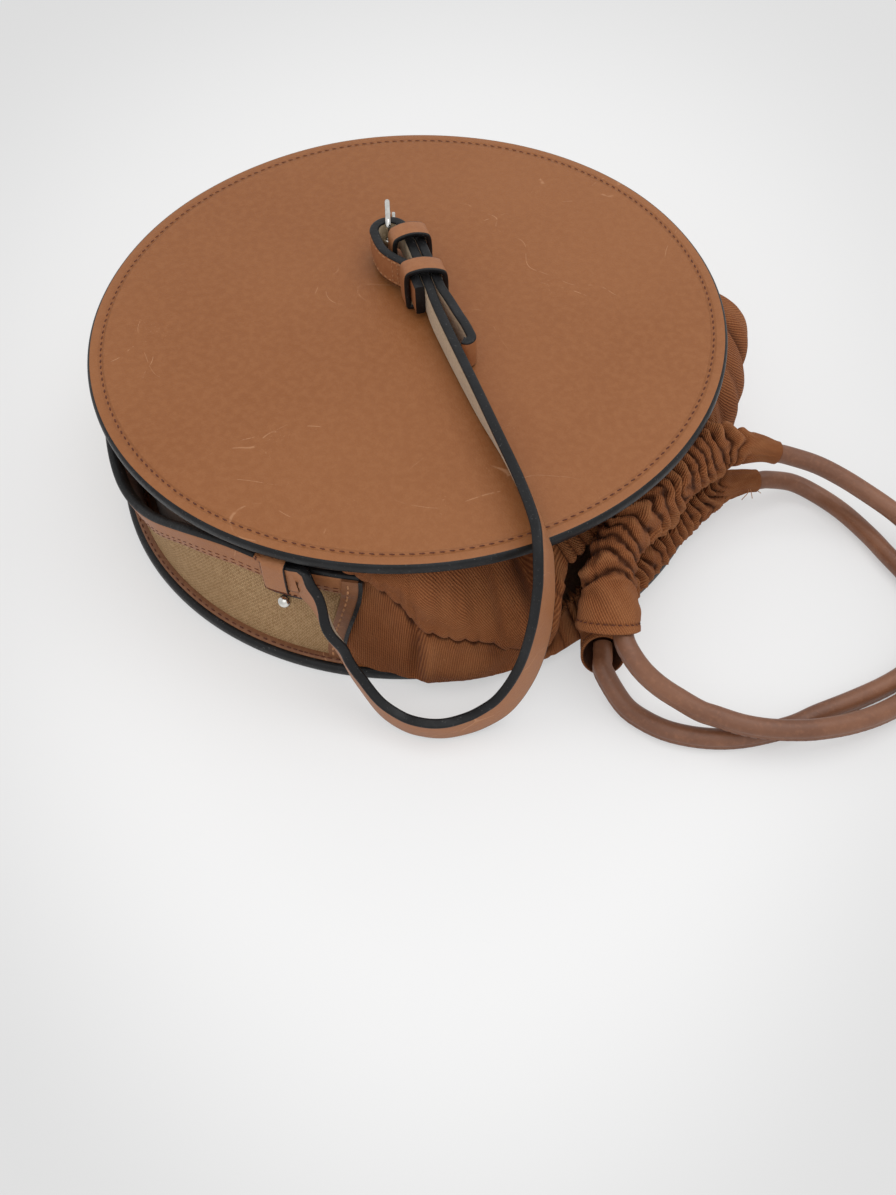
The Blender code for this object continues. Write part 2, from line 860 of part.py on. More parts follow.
# The tip of the strap's other half, held in the keepers, with its end curled back
tip_curl_shares = (
    (0.110, 0.05),
    (0.300, 0.37),
    (0.500, 0.68),
    (0.690, 0.92),
    (0.854, 1.00),
    (0.926, 1.00),
    (0.977, 0.82),
    (1.000, 0.42),
    (0.974, 0.06),
)
tip_start = sliding_keeper_reach - keeper_width
tip_points = []
for overlap_share in (0.8, 0.4):
    tip_points.append(on_disc(sliding_keeper_reach + tip_overlap * overlap_share, tip_offset, buckle_height))
tip_points.append(on_disc(tip_start, tip_offset, buckle_height))
for run_share, swing_share in tip_curl_shares:
    tip_points.append(
        on_disc(
            tip_start - tip_free_length * run_share,
            tip_offset + tip_swing * swing_share,
            share_between(buckle_height, strap_on_disc, ease(run_share * 1.6)),
        )
    )
tip_path = smooth_path(tip_points, 34)
put("strap_tip", loft(ribbon(tip_path, -suede_half, suede_half, -half_strap, half_strap)), tan_leather)

# Keepers: the fixed one passes between the fold's two layers, and the sliding one
# goes round them all
fixed_keeper_left = main_offset - half_strap - fixed_keeper_slack
sliding_keeper_left = seated_offset - half_strap - seat_gap
keeper_right = tip_offset + half_strap + seat_gap
keeper_low = buckle_height - strap_half_width - seat_gap
keeper_high = buckle_height + strap_half_width + seat_gap


def keeper(name, reach, left):
    # a leather loop, domed on top, with its upper corners rounded off
    wall = keeper_thickness
    middle = (left + keeper_right) / 2
    bore_spots = (
        (left, keeper_low),
        (left, buckle_height),
        (left, keeper_high),
        (middle, keeper_high),
        (keeper_right, keeper_high),
        (keeper_right, buckle_height),
        (keeper_right, keeper_low),
        (middle, keeper_low),
    )
    outer_spots = (
        (left - wall * 0.7, keeper_low - wall * 0.7),
        (left - wall, buckle_height),
        (left - wall * 0.6, keeper_high + wall * 0.6),
        (middle, keeper_high + wall * 1.3),
        (keeper_right + wall * 0.6, keeper_high + wall * 0.6),
        (keeper_right + wall, buckle_height),
        (keeper_right + wall * 0.7, keeper_low - wall * 0.7),
        (middle, keeper_low - wall),
    )
    ends = (reach - keeper_width / 2, reach + keeper_width / 2)
    outer = [[on_disc(end, *spot) for spot in outer_spots] for end in ends]
    inner = [[on_disc(end, *spot) for spot in bore_spots] for end in ends]
    return put(name, sleeve(outer, inner), tan_leather)


keeper("keeper_fixed", fixed_keeper_reach, fixed_keeper_left)
sliding = keeper("keeper_sliding", sliding_keeper_reach, sliding_keeper_left)
hang_on(sliding, on_disc(sliding_keeper_reach, (sliding_keeper_left + keeper_right) / 2, buckle_height))

# Buckle: a wire frame round its own bar, and a prong with an eye on that bar
bar_reach = fold_reach + bar_pull
bar_centre = on_disc(bar_reach, fold_offset, buckle_height)
frame_half_height = strap_half_width + seat_gap + bar_radius
corner_round = bar_radius * 1.6
frame_steps = 3


def on_frame(reach, side, height):
    # a place counted from the bar along the frame, which lies swung to the right
    return on_disc(
        bar_reach + reach * math.cos(frame_swing) - side * math.sin(frame_swing),
        fold_offset + reach * math.sin(frame_swing) + side * math.cos(frame_swing),
        buckle_height + height,
    )


def frame_path():
    corners = (
        (0.0, -1, math.pi),
        (frame_length, -1, math.pi * 1.5),
        (frame_length, 1, 0.0),
        (0.0, 1, math.pi * 0.5),
    )
    spots = []
    for reach, side, start_turn in corners:
        inward = corner_round if reach == 0.0 else -corner_round
        for index in range(frame_steps + 1):
            turn = start_turn + math.pi / 2 * index / frame_steps
            spots.append(
                (
                    reach + inward + corner_round * math.cos(turn),
                    side * (frame_half_height - corner_round) + corner_round * math.sin(turn),
                )
            )
    return spots


def wire_ring(spots, radius, sides):
    rings = []
    count = len(spots)
    for index, (reach, height) in enumerate(spots):
        before = spots[index - 1]
        after = spots[(index + 1) % count]
        run = (after[0] - before[0], after[1] - before[1])
        size = math.hypot(*run)
        out = (run[1] / size, -run[0] / size)
        ring = []
        for step in range(sides):
            turn = 2 * math.pi * (step + 0.5) / sides
            ring.append(
                on_frame(
                    reach + out[0] * radius * math.cos(turn),
                    radius * math.sin(turn),
                    height + out[1] * radius * math.cos(turn),
                )
            )
        rings.append(ring)
    return rings


buckle_frame = put("buckle_frame", loft(wire_ring(frame_path(), bar_radius, 8), looped=True), bright_metal)
hang_on(buckle_frame, bar_centre)

eye_half_height = prong_slot_height / 2 - 2 * seat_gap
eye_sides = 12
# the bore's flats, not its corners, keep the running gap round the bar
eye_bore = (bar_radius + running_gap) / math.cos(math.pi / eye_sides)


def eye_ring(radius, height):
    turns = [2 * math.pi * (step + 0.5) / eye_sides for step in range(eye_sides)]
    return [on_frame(radius * math.cos(turn), radius * math.sin(turn), height) for turn in turns]


eye_heights = (-eye_half_height, eye_half_height)
eye = sleeve(
    [eye_ring(eye_radius, height) for height in eye_heights],
    [eye_ring(eye_bore, height) for height in eye_heights],
)
prong = put("buckle_prong", eye, bright_metal)
finger_side = bar_radius + running_gap + prong_radius
finger_root = eye_radius - prong_eye_wall / 2
finger_turn = math.radians(40.0)
finger_spots = (
    (finger_root * math.cos(finger_turn), finger_root * math.sin(finger_turn)),
    (frame_length * 0.5, finger_side * 0.95),
    (frame_length - bar_radius * 2, finger_side),
    (frame_length + bar_radius, finger_side),
)
finger_path = [on_frame(reach, side, 0.0) for reach, side in finger_spots]
finger_rings = ovals(finger_path, even(prong_radius), even(prong_radius), 8)
combine(prong, put("prong_finger_tool", loft(finger_rings), bright_metal), "UNION")
bpy.context.view_layer.update()
joined = bpy.data.meshes.new_from_object(prong.evaluated_get(bpy.context.evaluated_depsgraph_get()))
prong.modifiers.clear()
prong.data = joined
hang_on(prong, bar_centre)


# Bridge over the strap's start, hooked over the wall's top edge, and the ball stud
def bridge(name, angle):
    strap_low = start_height - strap_half_width
    strap_high = start_height + strap_half_width
    shelf = strap_low - seat_gap
    roof = strap_high + seat_gap
    outer = start_radius + half_strap + seat_gap
    hook_out = lining_in - seat_gap
    wall = bridge_thickness
    base = trim_out + seat_gap
    outline = [
        (base, shelf - wall - bridge_tab),
        (base + wall, shelf - wall - bridge_tab),
        (base + wall, shelf - wall),
        (outer + wall, shelf - wall),
        (outer + wall, roof + wall),
        (hook_out - wall, roof + wall),
        (hook_out - wall, wall_high - bridge_hook),
        (hook_out, wall_high - bridge_hook),
        (hook_out, roof),
        (outer, roof),
        (outer, shelf),
        (base, shelf),
    ]
    half_span = bridge_width / 2 / start_radius
    put(name, band(angle - half_span, angle + half_span, lambda turn: outline, ARC_STEP / 2), tan_leather)


def stud(side, angle):
    way = polar(1.0, angle)
    height = start_height - strap_half_width - stud_drop
    seat = polar(trim_in, angle, height)
    neck_end = stud_base_height + stud_neck_length
    ball_middle = neck_end + math.sqrt(stud_ball_radius**2 - stud_neck_radius**2)
    profile = [
        (stud_base_radius, 0.0),
        (stud_base_radius, stud_base_height / 2),
        (stud_neck_radius * 1.2, stud_base_height),
        (stud_neck_radius, neck_end),
    ]
    for turn in (-35, -5, 25, 55, 80):
        swing = math.radians(turn)
        along_axis = ball_middle + stud_ball_radius * math.sin(swing)
        profile.append((stud_ball_radius * math.cos(swing), along_axis))
    put(f"stud_{side}", turned(profile, 12, seat, way), bright_metal)
    head_inner = lining_in - seat_gap - stud_screw_head_height
    screw_start = polar(head_inner, angle, height)
    reach = trim_in - seat_gap - head_inner
    screw_profile = [
        (stud_screw_head_radius * 0.8, 0.0),
        (stud_screw_head_radius, stud_screw_head_height / 2),
        (stud_screw_head_radius, stud_screw_head_height),
        (stud_neck_radius, stud_screw_head_height),
        (stud_neck_radius, reach),
    ]
    put(f"stud_screw_{side}", turned(screw_profile, 12, screw_start, way), bright_metal)
    hole_radius = stud_neck_radius + seat_gap
    hole = turned([(hole_radius, -foot_width), (hole_radius, foot_width)], 12, seat, way)
    hole_cutter = put(f"stud_hole_{side}", hole, bright_metal)
    combine(side_wall, hole_cutter, "DIFFERENCE")
    combine(wall_lining, hole_cutter, "DIFFERENCE")


for side, hand in (("near", 1), ("far", -1)):
    bridge(f"strap_bridge_{side}", hand * bridge_angle)
    stud(side, hand * stud_angle)
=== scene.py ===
import math

import bmesh
import bpy
from mathutils import Matrix, Vector, noise


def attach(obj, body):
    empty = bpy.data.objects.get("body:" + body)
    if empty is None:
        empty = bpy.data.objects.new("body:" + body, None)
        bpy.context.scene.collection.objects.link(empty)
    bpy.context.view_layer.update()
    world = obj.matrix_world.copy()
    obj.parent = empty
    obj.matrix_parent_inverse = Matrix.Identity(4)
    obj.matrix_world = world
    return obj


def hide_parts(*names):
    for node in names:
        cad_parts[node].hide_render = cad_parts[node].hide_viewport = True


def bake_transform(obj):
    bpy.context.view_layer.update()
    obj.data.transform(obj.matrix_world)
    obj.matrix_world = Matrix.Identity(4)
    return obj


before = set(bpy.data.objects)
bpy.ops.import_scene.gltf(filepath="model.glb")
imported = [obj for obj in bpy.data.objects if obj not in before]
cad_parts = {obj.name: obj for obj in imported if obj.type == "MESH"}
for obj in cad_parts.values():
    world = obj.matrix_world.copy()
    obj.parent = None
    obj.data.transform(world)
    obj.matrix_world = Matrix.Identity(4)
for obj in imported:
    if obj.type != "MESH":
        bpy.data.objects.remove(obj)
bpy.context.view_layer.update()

# Round leather shoulder bag, lying on its back panel. Metres; +X leaves the mouth.
scene = bpy.context.scene
scene.view_settings.view_transform = "Standard"
print("frame loaded")


# Shader helpers
def tone(red, green, blue):  # a colour as a photo editor gives it, 0 to 255
    def linear(part):
        part = part / 255
        return part / 12.92 if part <= 0.04045 else ((part + 0.055) / 1.055) ** 2.4

    return (linear(red), linear(green), linear(blue), 1.0)


class Wire:  # an output socket with the usual arithmetic
    def __init__(self, paint, socket):
        self.paint = paint
        self.socket = socket

    def maths(self, kind, *values):
        return self.paint.add("ShaderNodeMath", {"operation": kind}, dict(enumerate(values)))

    def __add__(self, other):
        return self.maths("ADD", self, other)

    def __sub__(self, other):
        return self.maths("SUBTRACT", self, other)

    def __rsub__(self, other):
        return self.maths("SUBTRACT", other, self)

    def __mul__(self, other):
        return self.maths("MULTIPLY", self, other)

    def __truediv__(self, other):
        return self.maths("DIVIDE", self, other)

    def __pow__(self, other):
        return self.maths("POWER", self, other)

    __radd__ = __add__
    __rmul__ = __mul__

    def sine(self):
        return self.maths("SINE", self)

    def size(self):
        return self.maths("ABSOLUTE", self)

    def above(self, low, high):  # 0 below low, 1 above high, smooth between
        settings = {"interpolation_type": "SMOOTHSTEP"}
        return self.paint.add("ShaderNodeMapRange", settings, {0: self, 1: low, 2: high})

    def parts(self):
        return [self.paint.add("ShaderNodeSeparateXYZ", {}, {0: self}, out) for out in range(3)]


class Paint:  # a material with one Principled shader
    def __init__(self, name, roughness, metallic=0.0, **shader):
        self.material = bpy.data.materials.new(name)
        self.material.use_nodes = True
        self.tree = self.material.node_tree
        self.shader = self.tree.nodes["Principled BSDF"]
        self.give("Roughness", roughness)
        self.give("Metallic", metallic)
        for socket, value in shader.items():
            self.give(socket.replace("_", " "), value)

    def add(self, kind, settings=None, values=None, out=0):
        node = self.tree.nodes.new(kind)
        for setting, value in (settings or {}).items():
            if setting == "stops":
                for index, (place, colour) in enumerate(value):
                    stops = node.color_ramp.elements
                    stop = stops[index] if index < len(stops) else stops.new(place)
                    stop.position = place
                    stop.color = colour
            else:
                setattr(node, setting, value)
        for socket, value in (values or {}).items():
            self.join(node.inputs[socket], value)
        return Wire(self, node.outputs[out])

    def join(self, socket, value):
        if isinstance(value, Wire):
            self.tree.links.new(value.socket, socket)
        else:
            socket.default_value = value

    def give(self, socket, value):
        self.join(self.shader.inputs[socket], value)

    def spot(self):  # object coordinates
        return self.add("ShaderNodeTexCoord", {}, {}, 3)

    def lay(self):  # the piece's own map, in metres along and across its cloth
        return self.add("ShaderNodeUVMap", {"uv_map": "lay"})

    def placed(self, where, scale=(1, 1, 1), turn=0.0):
        return self.add("ShaderNodeMapping", {}, {0: where, 2: (0, 0, turn), 3: scale})

    def cloud(self, scale, where=None, detail=3.0):
        values = {"Vector": where or self.spot(), "Scale": scale, "Detail": detail, "Roughness": 0.55}
        return self.add("ShaderNodeTexNoise", {}, values)

    def cells(self, scale):
        return self.add("ShaderNodeTexVoronoi", {}, {"Vector": self.spot(), "Scale": scale})

    def mix(self, share, one, two):
        return self.add("ShaderNodeMix", {"data_type": "RGBA"}, {0: share, 6: one, 7: two}, 2)

    def relief(self, height, distance, strength, base=None):
        values = {"Height": height, "Distance": distance, "Strength": strength}
        if base:
            values["Normal"] = base
        return self.add("ShaderNodeBump", {}, values)


# Finishes
leatherLook = {
    "light": tone(157, 102, 61),
    "middle": tone(148, 92, 50),
    "dark": tone(140, 84, 42),
    "scratch": tone(200, 150, 112),
    "grainPerMetre": 1300,
}
strapLook = dict(leatherLook, light=tone(167, 113, 75), middle=tone(158, 104, 67), dark=tone(148, 94, 58))
darkTrimLook = dict(leatherLook, light=tone(142, 96, 66), middle=tone(129, 84, 55), dark=tone(113, 72, 46))


def tanLeather(name, groove=None, look=leatherLook):
    paint = Paint(name, 0.5, Specular_IOR_Level=0.32, Coat_Weight=0.03, Coat_Roughness=0.3)
    broad = paint.cloud(9, detail=3.0)
    fine = paint.cloud(330, detail=4.0)
    colour = paint.mix(broad.above(0.3, 0.7), look["dark"], look["middle"])
    colour = paint.mix(fine.above(0.35, 0.7) * 0.5, colour, look["light"])
    grain = paint.cells(look["grainPerMetre"])
    pores = paint.cloud(2200, detail=2.0)
    colour = paint.mix(grain.above(0.45, 0.8) * 0.25, colour, look["dark"])
    # hair-thin curved scratches and rubbed spots, in a few places only
    long = 1 - (paint.cloud(17, detail=1.5) - 0.5).size().above(0.0006, 0.0030)
    short = 1 - (paint.cloud(38, detail=0.0) - 0.5).size().above(0.001, 0.006)
    longPlaces = paint.cloud(11, detail=2.0).above(0.47, 0.55) * paint.cloud(120).above(0.44, 0.56)
    shortPlaces = paint.cloud(23, detail=2.0).above(0.57, 0.63) * paint.cloud(190).above(0.46, 0.58)
    scratch = long * longPlaces * 0.8 + short * shortPlaces
    rubbed = paint.cloud(1500, detail=1.0).above(0.62, 0.70) * paint.cloud(26, detail=3.0).above(0.60, 0.68)
    colour = paint.mix((scratch * 0.6 + rubbed * 0.35).above(0.0, 1.1), colour, look["scratch"])
    height = grain * 0.7 + pores * 0.5 + fine * 0.6 - scratch * 0.8
    normal = paint.relief(height, 0.0003, 0.34)
    if groove:
        x, y, _ = paint.spot().parts()
        reach = (x * x + y * y) ** 0.5
        ditch = 1 - (reach - groove).size().above(0.0003, 0.0013)
        colour = paint.mix(ditch * 0.35, colour, look["dark"])
        colour = paint.mix(reach.above(groove + 0.0008, groove + 0.0034) * 0.25, colour, look["light"])
        normal = paint.relief(1 - ditch, 0.0008, 0.6, normal)
    paint.give("Base Color", colour)
    paint.give("Roughness", 0.40 + fine * 0.22 + scratch * 0.1)
    paint.give("Normal", normal)
    return paint.material


def edgePaint(name):
    paint = Paint(name, 0.4, Specular_IOR_Level=0.3, Coat_Weight=0.05, Coat_Roughness=0.25)
    rub = paint.cloud(110, detail=4.0)
    colour = paint.mix(rub.above(0.4, 0.8), tone(13, 13, 15), tone(27, 28, 31))
    colour = paint.mix(paint.cloud(1200, detail=2.0).above(0.66, 0.72) * 0.5, colour, tone(92, 90, 88))
    paint.give("Base Color", colour)
    paint.give("Roughness", 0.34 + paint.cloud(420) * 0.22)
    paint.give("Normal", paint.relief(paint.cloud(500, detail=2.0) + rub * 1.4, 0.0004, 0.4))
    return paint.material


def suedeNap(name, colour, other):
    paint = Paint(name, 0.92, Sheen_Weight=0.2, Sheen_Roughness=0.5)
    nap = paint.cloud(1100, detail=4.0)
    shade = paint.mix(nap.above(0.3, 0.7), colour, other)
    paint.give("Base Color", paint.mix(paint.cloud(60, detail=4.0).above(0.4, 0.75) * 0.5, shade, other))
    paint.give("Normal", paint.relief(nap, 0.0004, 0.5))
    return paint.material


def wovenCanvas(name, thread=0.00085):
    paint = Paint(name, 0.9, Specular_IOR_Level=0.25)
    bend = paint.cloud(400, detail=2.0) * 0.00025
    across, along, _ = paint.lay().parts()
    warp = ((across + bend) * (math.pi / thread)).sine()
    weft = ((along + bend) * (math.pi / thread)).sine()
    over = (warp * weft).above(-0.3, 0.3)
    slub, slubAcross = (
        paint.cloud(1.0, paint.placed(paint.lay(), stretch)) for stretch in ((230, 1500, 1), (1500, 230, 1))
    )
    hill = warp.size() * over + weft.size() * (1 - over)
    colour = paint.mix(over, tone(152, 118, 80), tone(180, 144, 103))
    colour = paint.mix((1 - hill.above(0.12, 0.6)) * 0.6, colour, tone(108, 80, 50))
    colour = paint.mix((slub * 0.5 + slubAcross * 0.5).above(0.4, 0.62) * 0.5, colour, tone(206, 172, 130))
    colour = paint.mix(paint.cloud(40, detail=4.0).above(0.4, 0.75) * 0.4, colour, tone(156, 120, 80))
    paint.give("Base Color", colour)
    paint.give("Normal", paint.relief(hill + slub * 0.4, 0.0004, 0.8))
    return paint.material


twillLook = {
    "foldShade": tone(58, 28, 14),
    "ground": tone(116, 65, 37),
    "thread": tone(156, 98, 60),
    "fuzz": tone(196, 142, 98),
    "wearAndHighlight": tone(166, 111, 72),
    "pitch": 0.00074,
}


def brushedTwill(name, turn=0.62, look=twillLook):
    # crest light runs from 0 in a fold's valley to 1 on its crest; valleys, seams and hollows are painted in
    # shade and crests get a painted highlight
    paint = Paint(name, 0.9, Specular_IOR_Level=0.1, Sheen_Weight=0.03, Sheen_Roughness=0.4)
    across, along, _ = paint.placed(paint.lay(), (1, 1, 1), turn).parts()
    wobble = paint.cloud(260, detail=3.0)
    rib = (across * (2 * math.pi / look["pitch"]) + wobble * 2.4).sine()
    cross = (along * (2 * math.pi / (look["pitch"] * 1.35)) + wobble * 5.0).sine()
    fuzz = paint.cloud(2400, detail=4.0)
    broad = paint.cloud(48, detail=5.0)
    crestLight = paint.add("ShaderNodeAttribute", {"attribute_name": "crestLight"}, {}, 2)
    weave = rib.above(-0.6, 0.7) * 0.8 + cross.above(0.2, 1.0) * 0.2
    colour = paint.mix(weave, look["ground"], look["thread"])
    colour = paint.mix(broad.above(0.42, 0.75) * 0.3, colour, look["wearAndHighlight"])
    # crests painted lighter: a painted highlight, with some wear
    colour = paint.mix(crestLight.above(0.55, 1.0) * 0.5, colour, look["wearAndHighlight"])
    # painted shade in fold valleys, along seams and in the hollow under the front panel
    colour = paint.mix((1 - crestLight.above(0.0, 0.5)) * 0.9, colour, look["foldShade"])
    # light fuzz flecks, made brighter on crests as a painted highlight
    colour = paint.mix(fuzz.above(0.56, 0.74) * (0.2 + crestLight * 0.35), colour, look["fuzz"])
    paint.give("Base Color", colour)
    paint.give("Normal", paint.relief(rib * 0.7 + cross * 0.2 + fuzz * 0.6, 0.0004, 0.6))
    return paint.material


def handleHide(name, seamPlace=0.0207):
    paint = Paint(name, 0.45, Coat_Weight=0.05, Coat_Roughness=0.3)
    broad = paint.cloud(40, detail=4.0)
    fine = paint.cloud(600, detail=3.0)
    across, _, _ = paint.lay().parts()
    colour = paint.mix(broad.above(0.35, 0.7), tone(112, 70, 47), tone(131, 86, 60))
    colour = paint.mix(fine.above(0.45, 0.8) * 0.4, colour, tone(150, 103, 75))
    seam = 1 - (across - seamPlace).size().above(0.0002, 0.0009)
    paint.give("Base Color", paint.mix(seam * 0.75, colour, tone(70, 42, 30)))
    paint.give("Roughness", 0.36 + fine * 0.2)
    paint.give("Normal", paint.relief(fine + paint.cells(1500) * 0.5, 0.0002, 0.4))
    return paint.material


def plain(name, colour, roughness, metallic=0.0, grain=700, depth=0.0002):
    paint = Paint(name, roughness, metallic)
    mottle = paint.cloud(grain, detail=3.0)
    darker = tuple(part * 0.72 for part in colour[:3]) + (1.0,)
    paint.give("Base Color", paint.mix(mottle.above(0.3, 0.7), darker, colour))
    paint.give("Roughness", roughness * 0.85 + mottle * (roughness * 0.3))
    paint.give("Normal", paint.relief(mottle, depth, 0.3))
    return paint.material


discLeather = tanLeather("disc_leather", groove=0.1157)  # at the radius of its stitches
trimLeather = tanLeather("trim_leather", look=strapLook)
endTrimLeather = tanLeather("end_trim_leather", look=darkTrimLook)
blackEdge = edgePaint("edge_paint")
suede = suedeNap("suede_nap", tone(172, 150, 118), tone(196, 175, 144))
liningCloth = suedeNap("lining_weave", tone(112, 80, 58), tone(138, 102, 76))
canvas = wovenCanvas("canvas_weave")
twill = brushedTwill("brushed_twill")
twillUpright = brushedTwill("brushed_twill_upright", turn=0.12)
handleLeather = handleHide("handle_hide")
threadDark = plain("thread_dark", tone(98, 48, 26), 0.8)
threadTan = plain("thread_tan", tone(188, 134, 92), 0.8)
metal = plain("polished_metal", tone(232, 231, 226), 0.13, 1.0, 260, 0.00004)
print("finishes ready")


# Shape helpers
def addPiece(name, bm, paints, body, nodes=(), slot="tan_leather", sharp=50.0):
    mesh = bpy.data.meshes.new(name)
    bm.normal_update()
    bm.to_mesh(mesh)
    bm.free()
    mesh.shade_smooth()
    mesh.set_sharp_from_angle(angle=math.radians(sharp))
    piece = bpy.data.objects.new(name, mesh)
    scene.collection.objects.link(piece)
    for paint in paints:
        mesh.materials.append(paint)
    if body:
        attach(piece, body)
    if nodes:
        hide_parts(*nodes)
    return piece


def wrap(counts, place, size=(1.0, 1.0), joined=False, capped=False, pick=None, thickness=0.0):
    # a grid whose two shares are carried to their places by place(across, along); a fourth
    # value of a place is its crest light, which the cloth's colour reads as painted shade and highlight
    bm = bmesh.new()
    crestLight = bm.verts.layers.float.new("crestLight")
    bmesh.ops.create_grid(bm, x_segments=counts[0], y_segments=counts[1], size=0.5)
    lay = bm.loops.layers.uv.new("lay")
    for face in bm.faces:
        for loop in face.loops:
            share = loop.vert.co
            loop[lay].uv = ((share.x + 0.5) * size[0], (share.y + 0.5) * size[1])
        if pick:
            middle = face.calc_center_median()
            face.material_index = pick(middle.x + 0.5, middle.y + 0.5)
    for vert in bm.verts:
        spot = place(vert.co.x + 0.5, vert.co.y + 0.5)
        if len(spot) == 4:
            vert[crestLight] = spot.w
        vert.co = spot.to_3d()
    if joined:
        bmesh.ops.remove_doubles(bm, verts=bm.verts, dist=1e-6)
    if capped:
        rim = [edge for edge in bm.edges if edge.is_boundary]
        bmesh.ops.holes_fill(bm, edges=rim, sides=0)
    bmesh.ops.recalc_face_normals(bm, faces=bm.faces)
    if thickness:
        bmesh.ops.solidify(bm, geom=bm.faces[:], thickness=thickness)
        bmesh.ops.recalc_face_normals(bm, faces=bm.faces)
    return bm


def smoothPath(points, count):
    # even steps along a curve through the points
    ends = [2 * points[0] - points[1]] + points + [2 * points[-1] - points[-2]]
    fine = []
    for index in range(1, len(ends) - 2):
        before, here, after, beyond = ends[index - 1 : index + 3]
        for part in range(16):
            share = part / 16
            one = (after - before) * share
            two = (2 * before - 5 * here + 4 * after - beyond) * share**2
            three = (3 * here - before - 3 * after + beyond) * share**3
            fine.append(0.5 * (2 * here + one + two + three))
    fine.append(points[-1].copy())
    reach = [0.0]
    for one, two in zip(fine, fine[1:]):
        reach.append(reach[-1] + (two - one).length)
    path, place = [], 0
    for index in range(count):
        wanted = reach[-1] * index / (count - 1)
        while place < len(reach) - 2 and reach[place + 1] < wanted:
            place += 1
        share = (wanted - reach[place]) / max(reach[place + 1] - reach[place], 1e-9)
        path.append(fine[place].lerp(fine[place + 1], share))
    return path


def lengthOf(path):
    return sum((two - one).length for one, two in zip(path, path[1:]))


def stations(path, leans=None):
    # (point, right, up) along a path; a lean tips the width to the right
    found = []
    last = len(path) - 1
    upright = Vector((0, 0, 1))
    for index, point in enumerate(path):
        way = (path[min(index + 1, last)] - path[max(index - 1, 0)]).normalized()
        level = way.cross(upright).normalized()
        right = way.cross(upright + level * (leans[index] if leans else 0.0)).normalized()
        found.append((point, right, right.cross(way)))
    return found


def tubeStations(path, level, looped=False):
    # stations of a wire, which needs no upright
    last = len(path) - 1
    found = []
    for index, point in enumerate(path):
        if looped:
            way = path[(index + 1) % last] - path[(index - 1) % last]
        else:
            way = path[min(index + 1, last)] - path[max(index - 1, 0)]
        right = way.normalized().cross(level).normalized()
        found.append((point, right, right.cross(way.normalized())))
    return found


def roundedBar(halfAcross, halfUp, corner, steps=3):
    # a closed outline of (right, up) distances
    points = []
    for quarter, (x, z) in enumerate(((1, 1), (-1, 1), (-1, -1), (1, -1))):
        for step in range(steps + 1):
            turn = math.pi / 2 * (quarter + step / steps)
            right = x * (halfAcross - corner) + corner * math.cos(turn)
            points.append((right, z * (halfUp - corner) + corner * math.sin(turn)))
    return points + points[:1]


def circle(radius, steps):
    turns = [2 * math.pi * step / steps for step in range(steps + 1)]
    return [(radius * math.cos(turn), radius * math.sin(turn)) for turn in turns]


def sweep(spots, outline, looped=False, size=(1, 1), edged=True):
    # an outline of (right, up) distances carried along stations: where it is edged, its right
    # flat takes the first paint, its left flat the third, and its edges the second
    last, top = len(outline) - 1, len(spots) - 1
    widest = max(right for right, up in outline) - 1e-6

    def place(across, along):
        right, up = outline[round(across * last)]
        point, rightWay, upWay = spots[round(along * top)]
        return point + rightWay * right + upWay * up

    def pick(across, along):
        segment = min(int(across * last), last - 1)
        one, two = outline[segment][0], outline[segment + 1][0]
        if min(one, two) > widest:
            return 0
        return 2 if max(one, two) < -widest else 1

    return wrap((last, top), place, size, True, not looped, pick if edged else None)


def lathe(profile, steps):
    # a closed shape spun from (radius, height) points
    bm = bmesh.new()
    verts = [bm.verts.new((radius, 0, height)) for radius, height in profile]
    edges = [bm.edges.new(pair) for pair in zip(verts, verts[1:])]
    bmesh.ops.spin(
        bm, geom=verts + edges, cent=(0, 0, 0), axis=(0, 0, 1), angle=2 * math.pi, steps=steps, use_merge=True
    )
    bmesh.ops.remove_doubles(bm, verts=bm.verts, dist=1e-6)
    bmesh.ops.recalc_face_normals(bm, faces=bm.faces)
    return bm


def stitches(name, spots, size, paint, body="bag", slot="tan_leather"):
    # one small thread bead for each (place, way along, way out)
    bm = bmesh.new()
    scale = Matrix.Diagonal((size[0] / 2, size[1] / 2, size[2] / 2, 1))
    for point, way, out in spots:
        side = way.cross(out).normalized()
        turn = Matrix((way.normalized(), side, out.normalized())).transposed().to_4x4()
        place = Matrix.Translation(point) @ turn @ scale
        bmesh.ops.create_icosphere(bm, subdivisions=1, radius=1.0, matrix=place)
    return addPiece(name, bm, [paint], body, slot=slot, sharp=180)


def polar(radius, angle, height=0.0):
    return Vector((radius * math.cos(angle), radius * math.sin(angle), height))


def between(low, high, share):
    return low + (high - low) * share


def ease(share):
    share = min(max(share, 0.0), 1.0)
    return share * share * (3 - 2 * share)


def table(rows, at):
    # a smooth value between the rows of a table
    if at <= rows[0][0]:
        return rows[0][1]
    for (one, low), (two, high) in zip(rows, rows[1:]):
        if at <= two:
            return between(low, high, ease((at - one) / (two - one)))
    return rows[-1][1]


# Round panels: leather face, painted edge, lining inside
panel = {
    "radius": 0.121,
    "height": 0.0048,
    "depth": 0.0669,
    "warp": 0.0004,
    "steps": 240,
    "liningRadius": 0.112,
    "paintRadius": 0.1187,
    "paintWidth": 0.0012,
    "stitchRadius": 0.1157,
    "stitchPitch": 0.0033,
    "stitchSize": (0.0025, 0.0008, 0.0006),
}
# the rounded rim: (distance in from the edge, distance down from the face)
rimSteps = ((0.0017, 0.0), (0.0011, 0.00012), (0.0006, 0.00040), (0.0002, 0.00090), (0.0, 0.0016))


def warp(point, strength):
    rough = noise.noise(Vector((point.x * 14, point.y * 14, 3.0)))
    return rough * strength * min(1.0, max(0.0, (point.xy.length - 0.03) / 0.06))


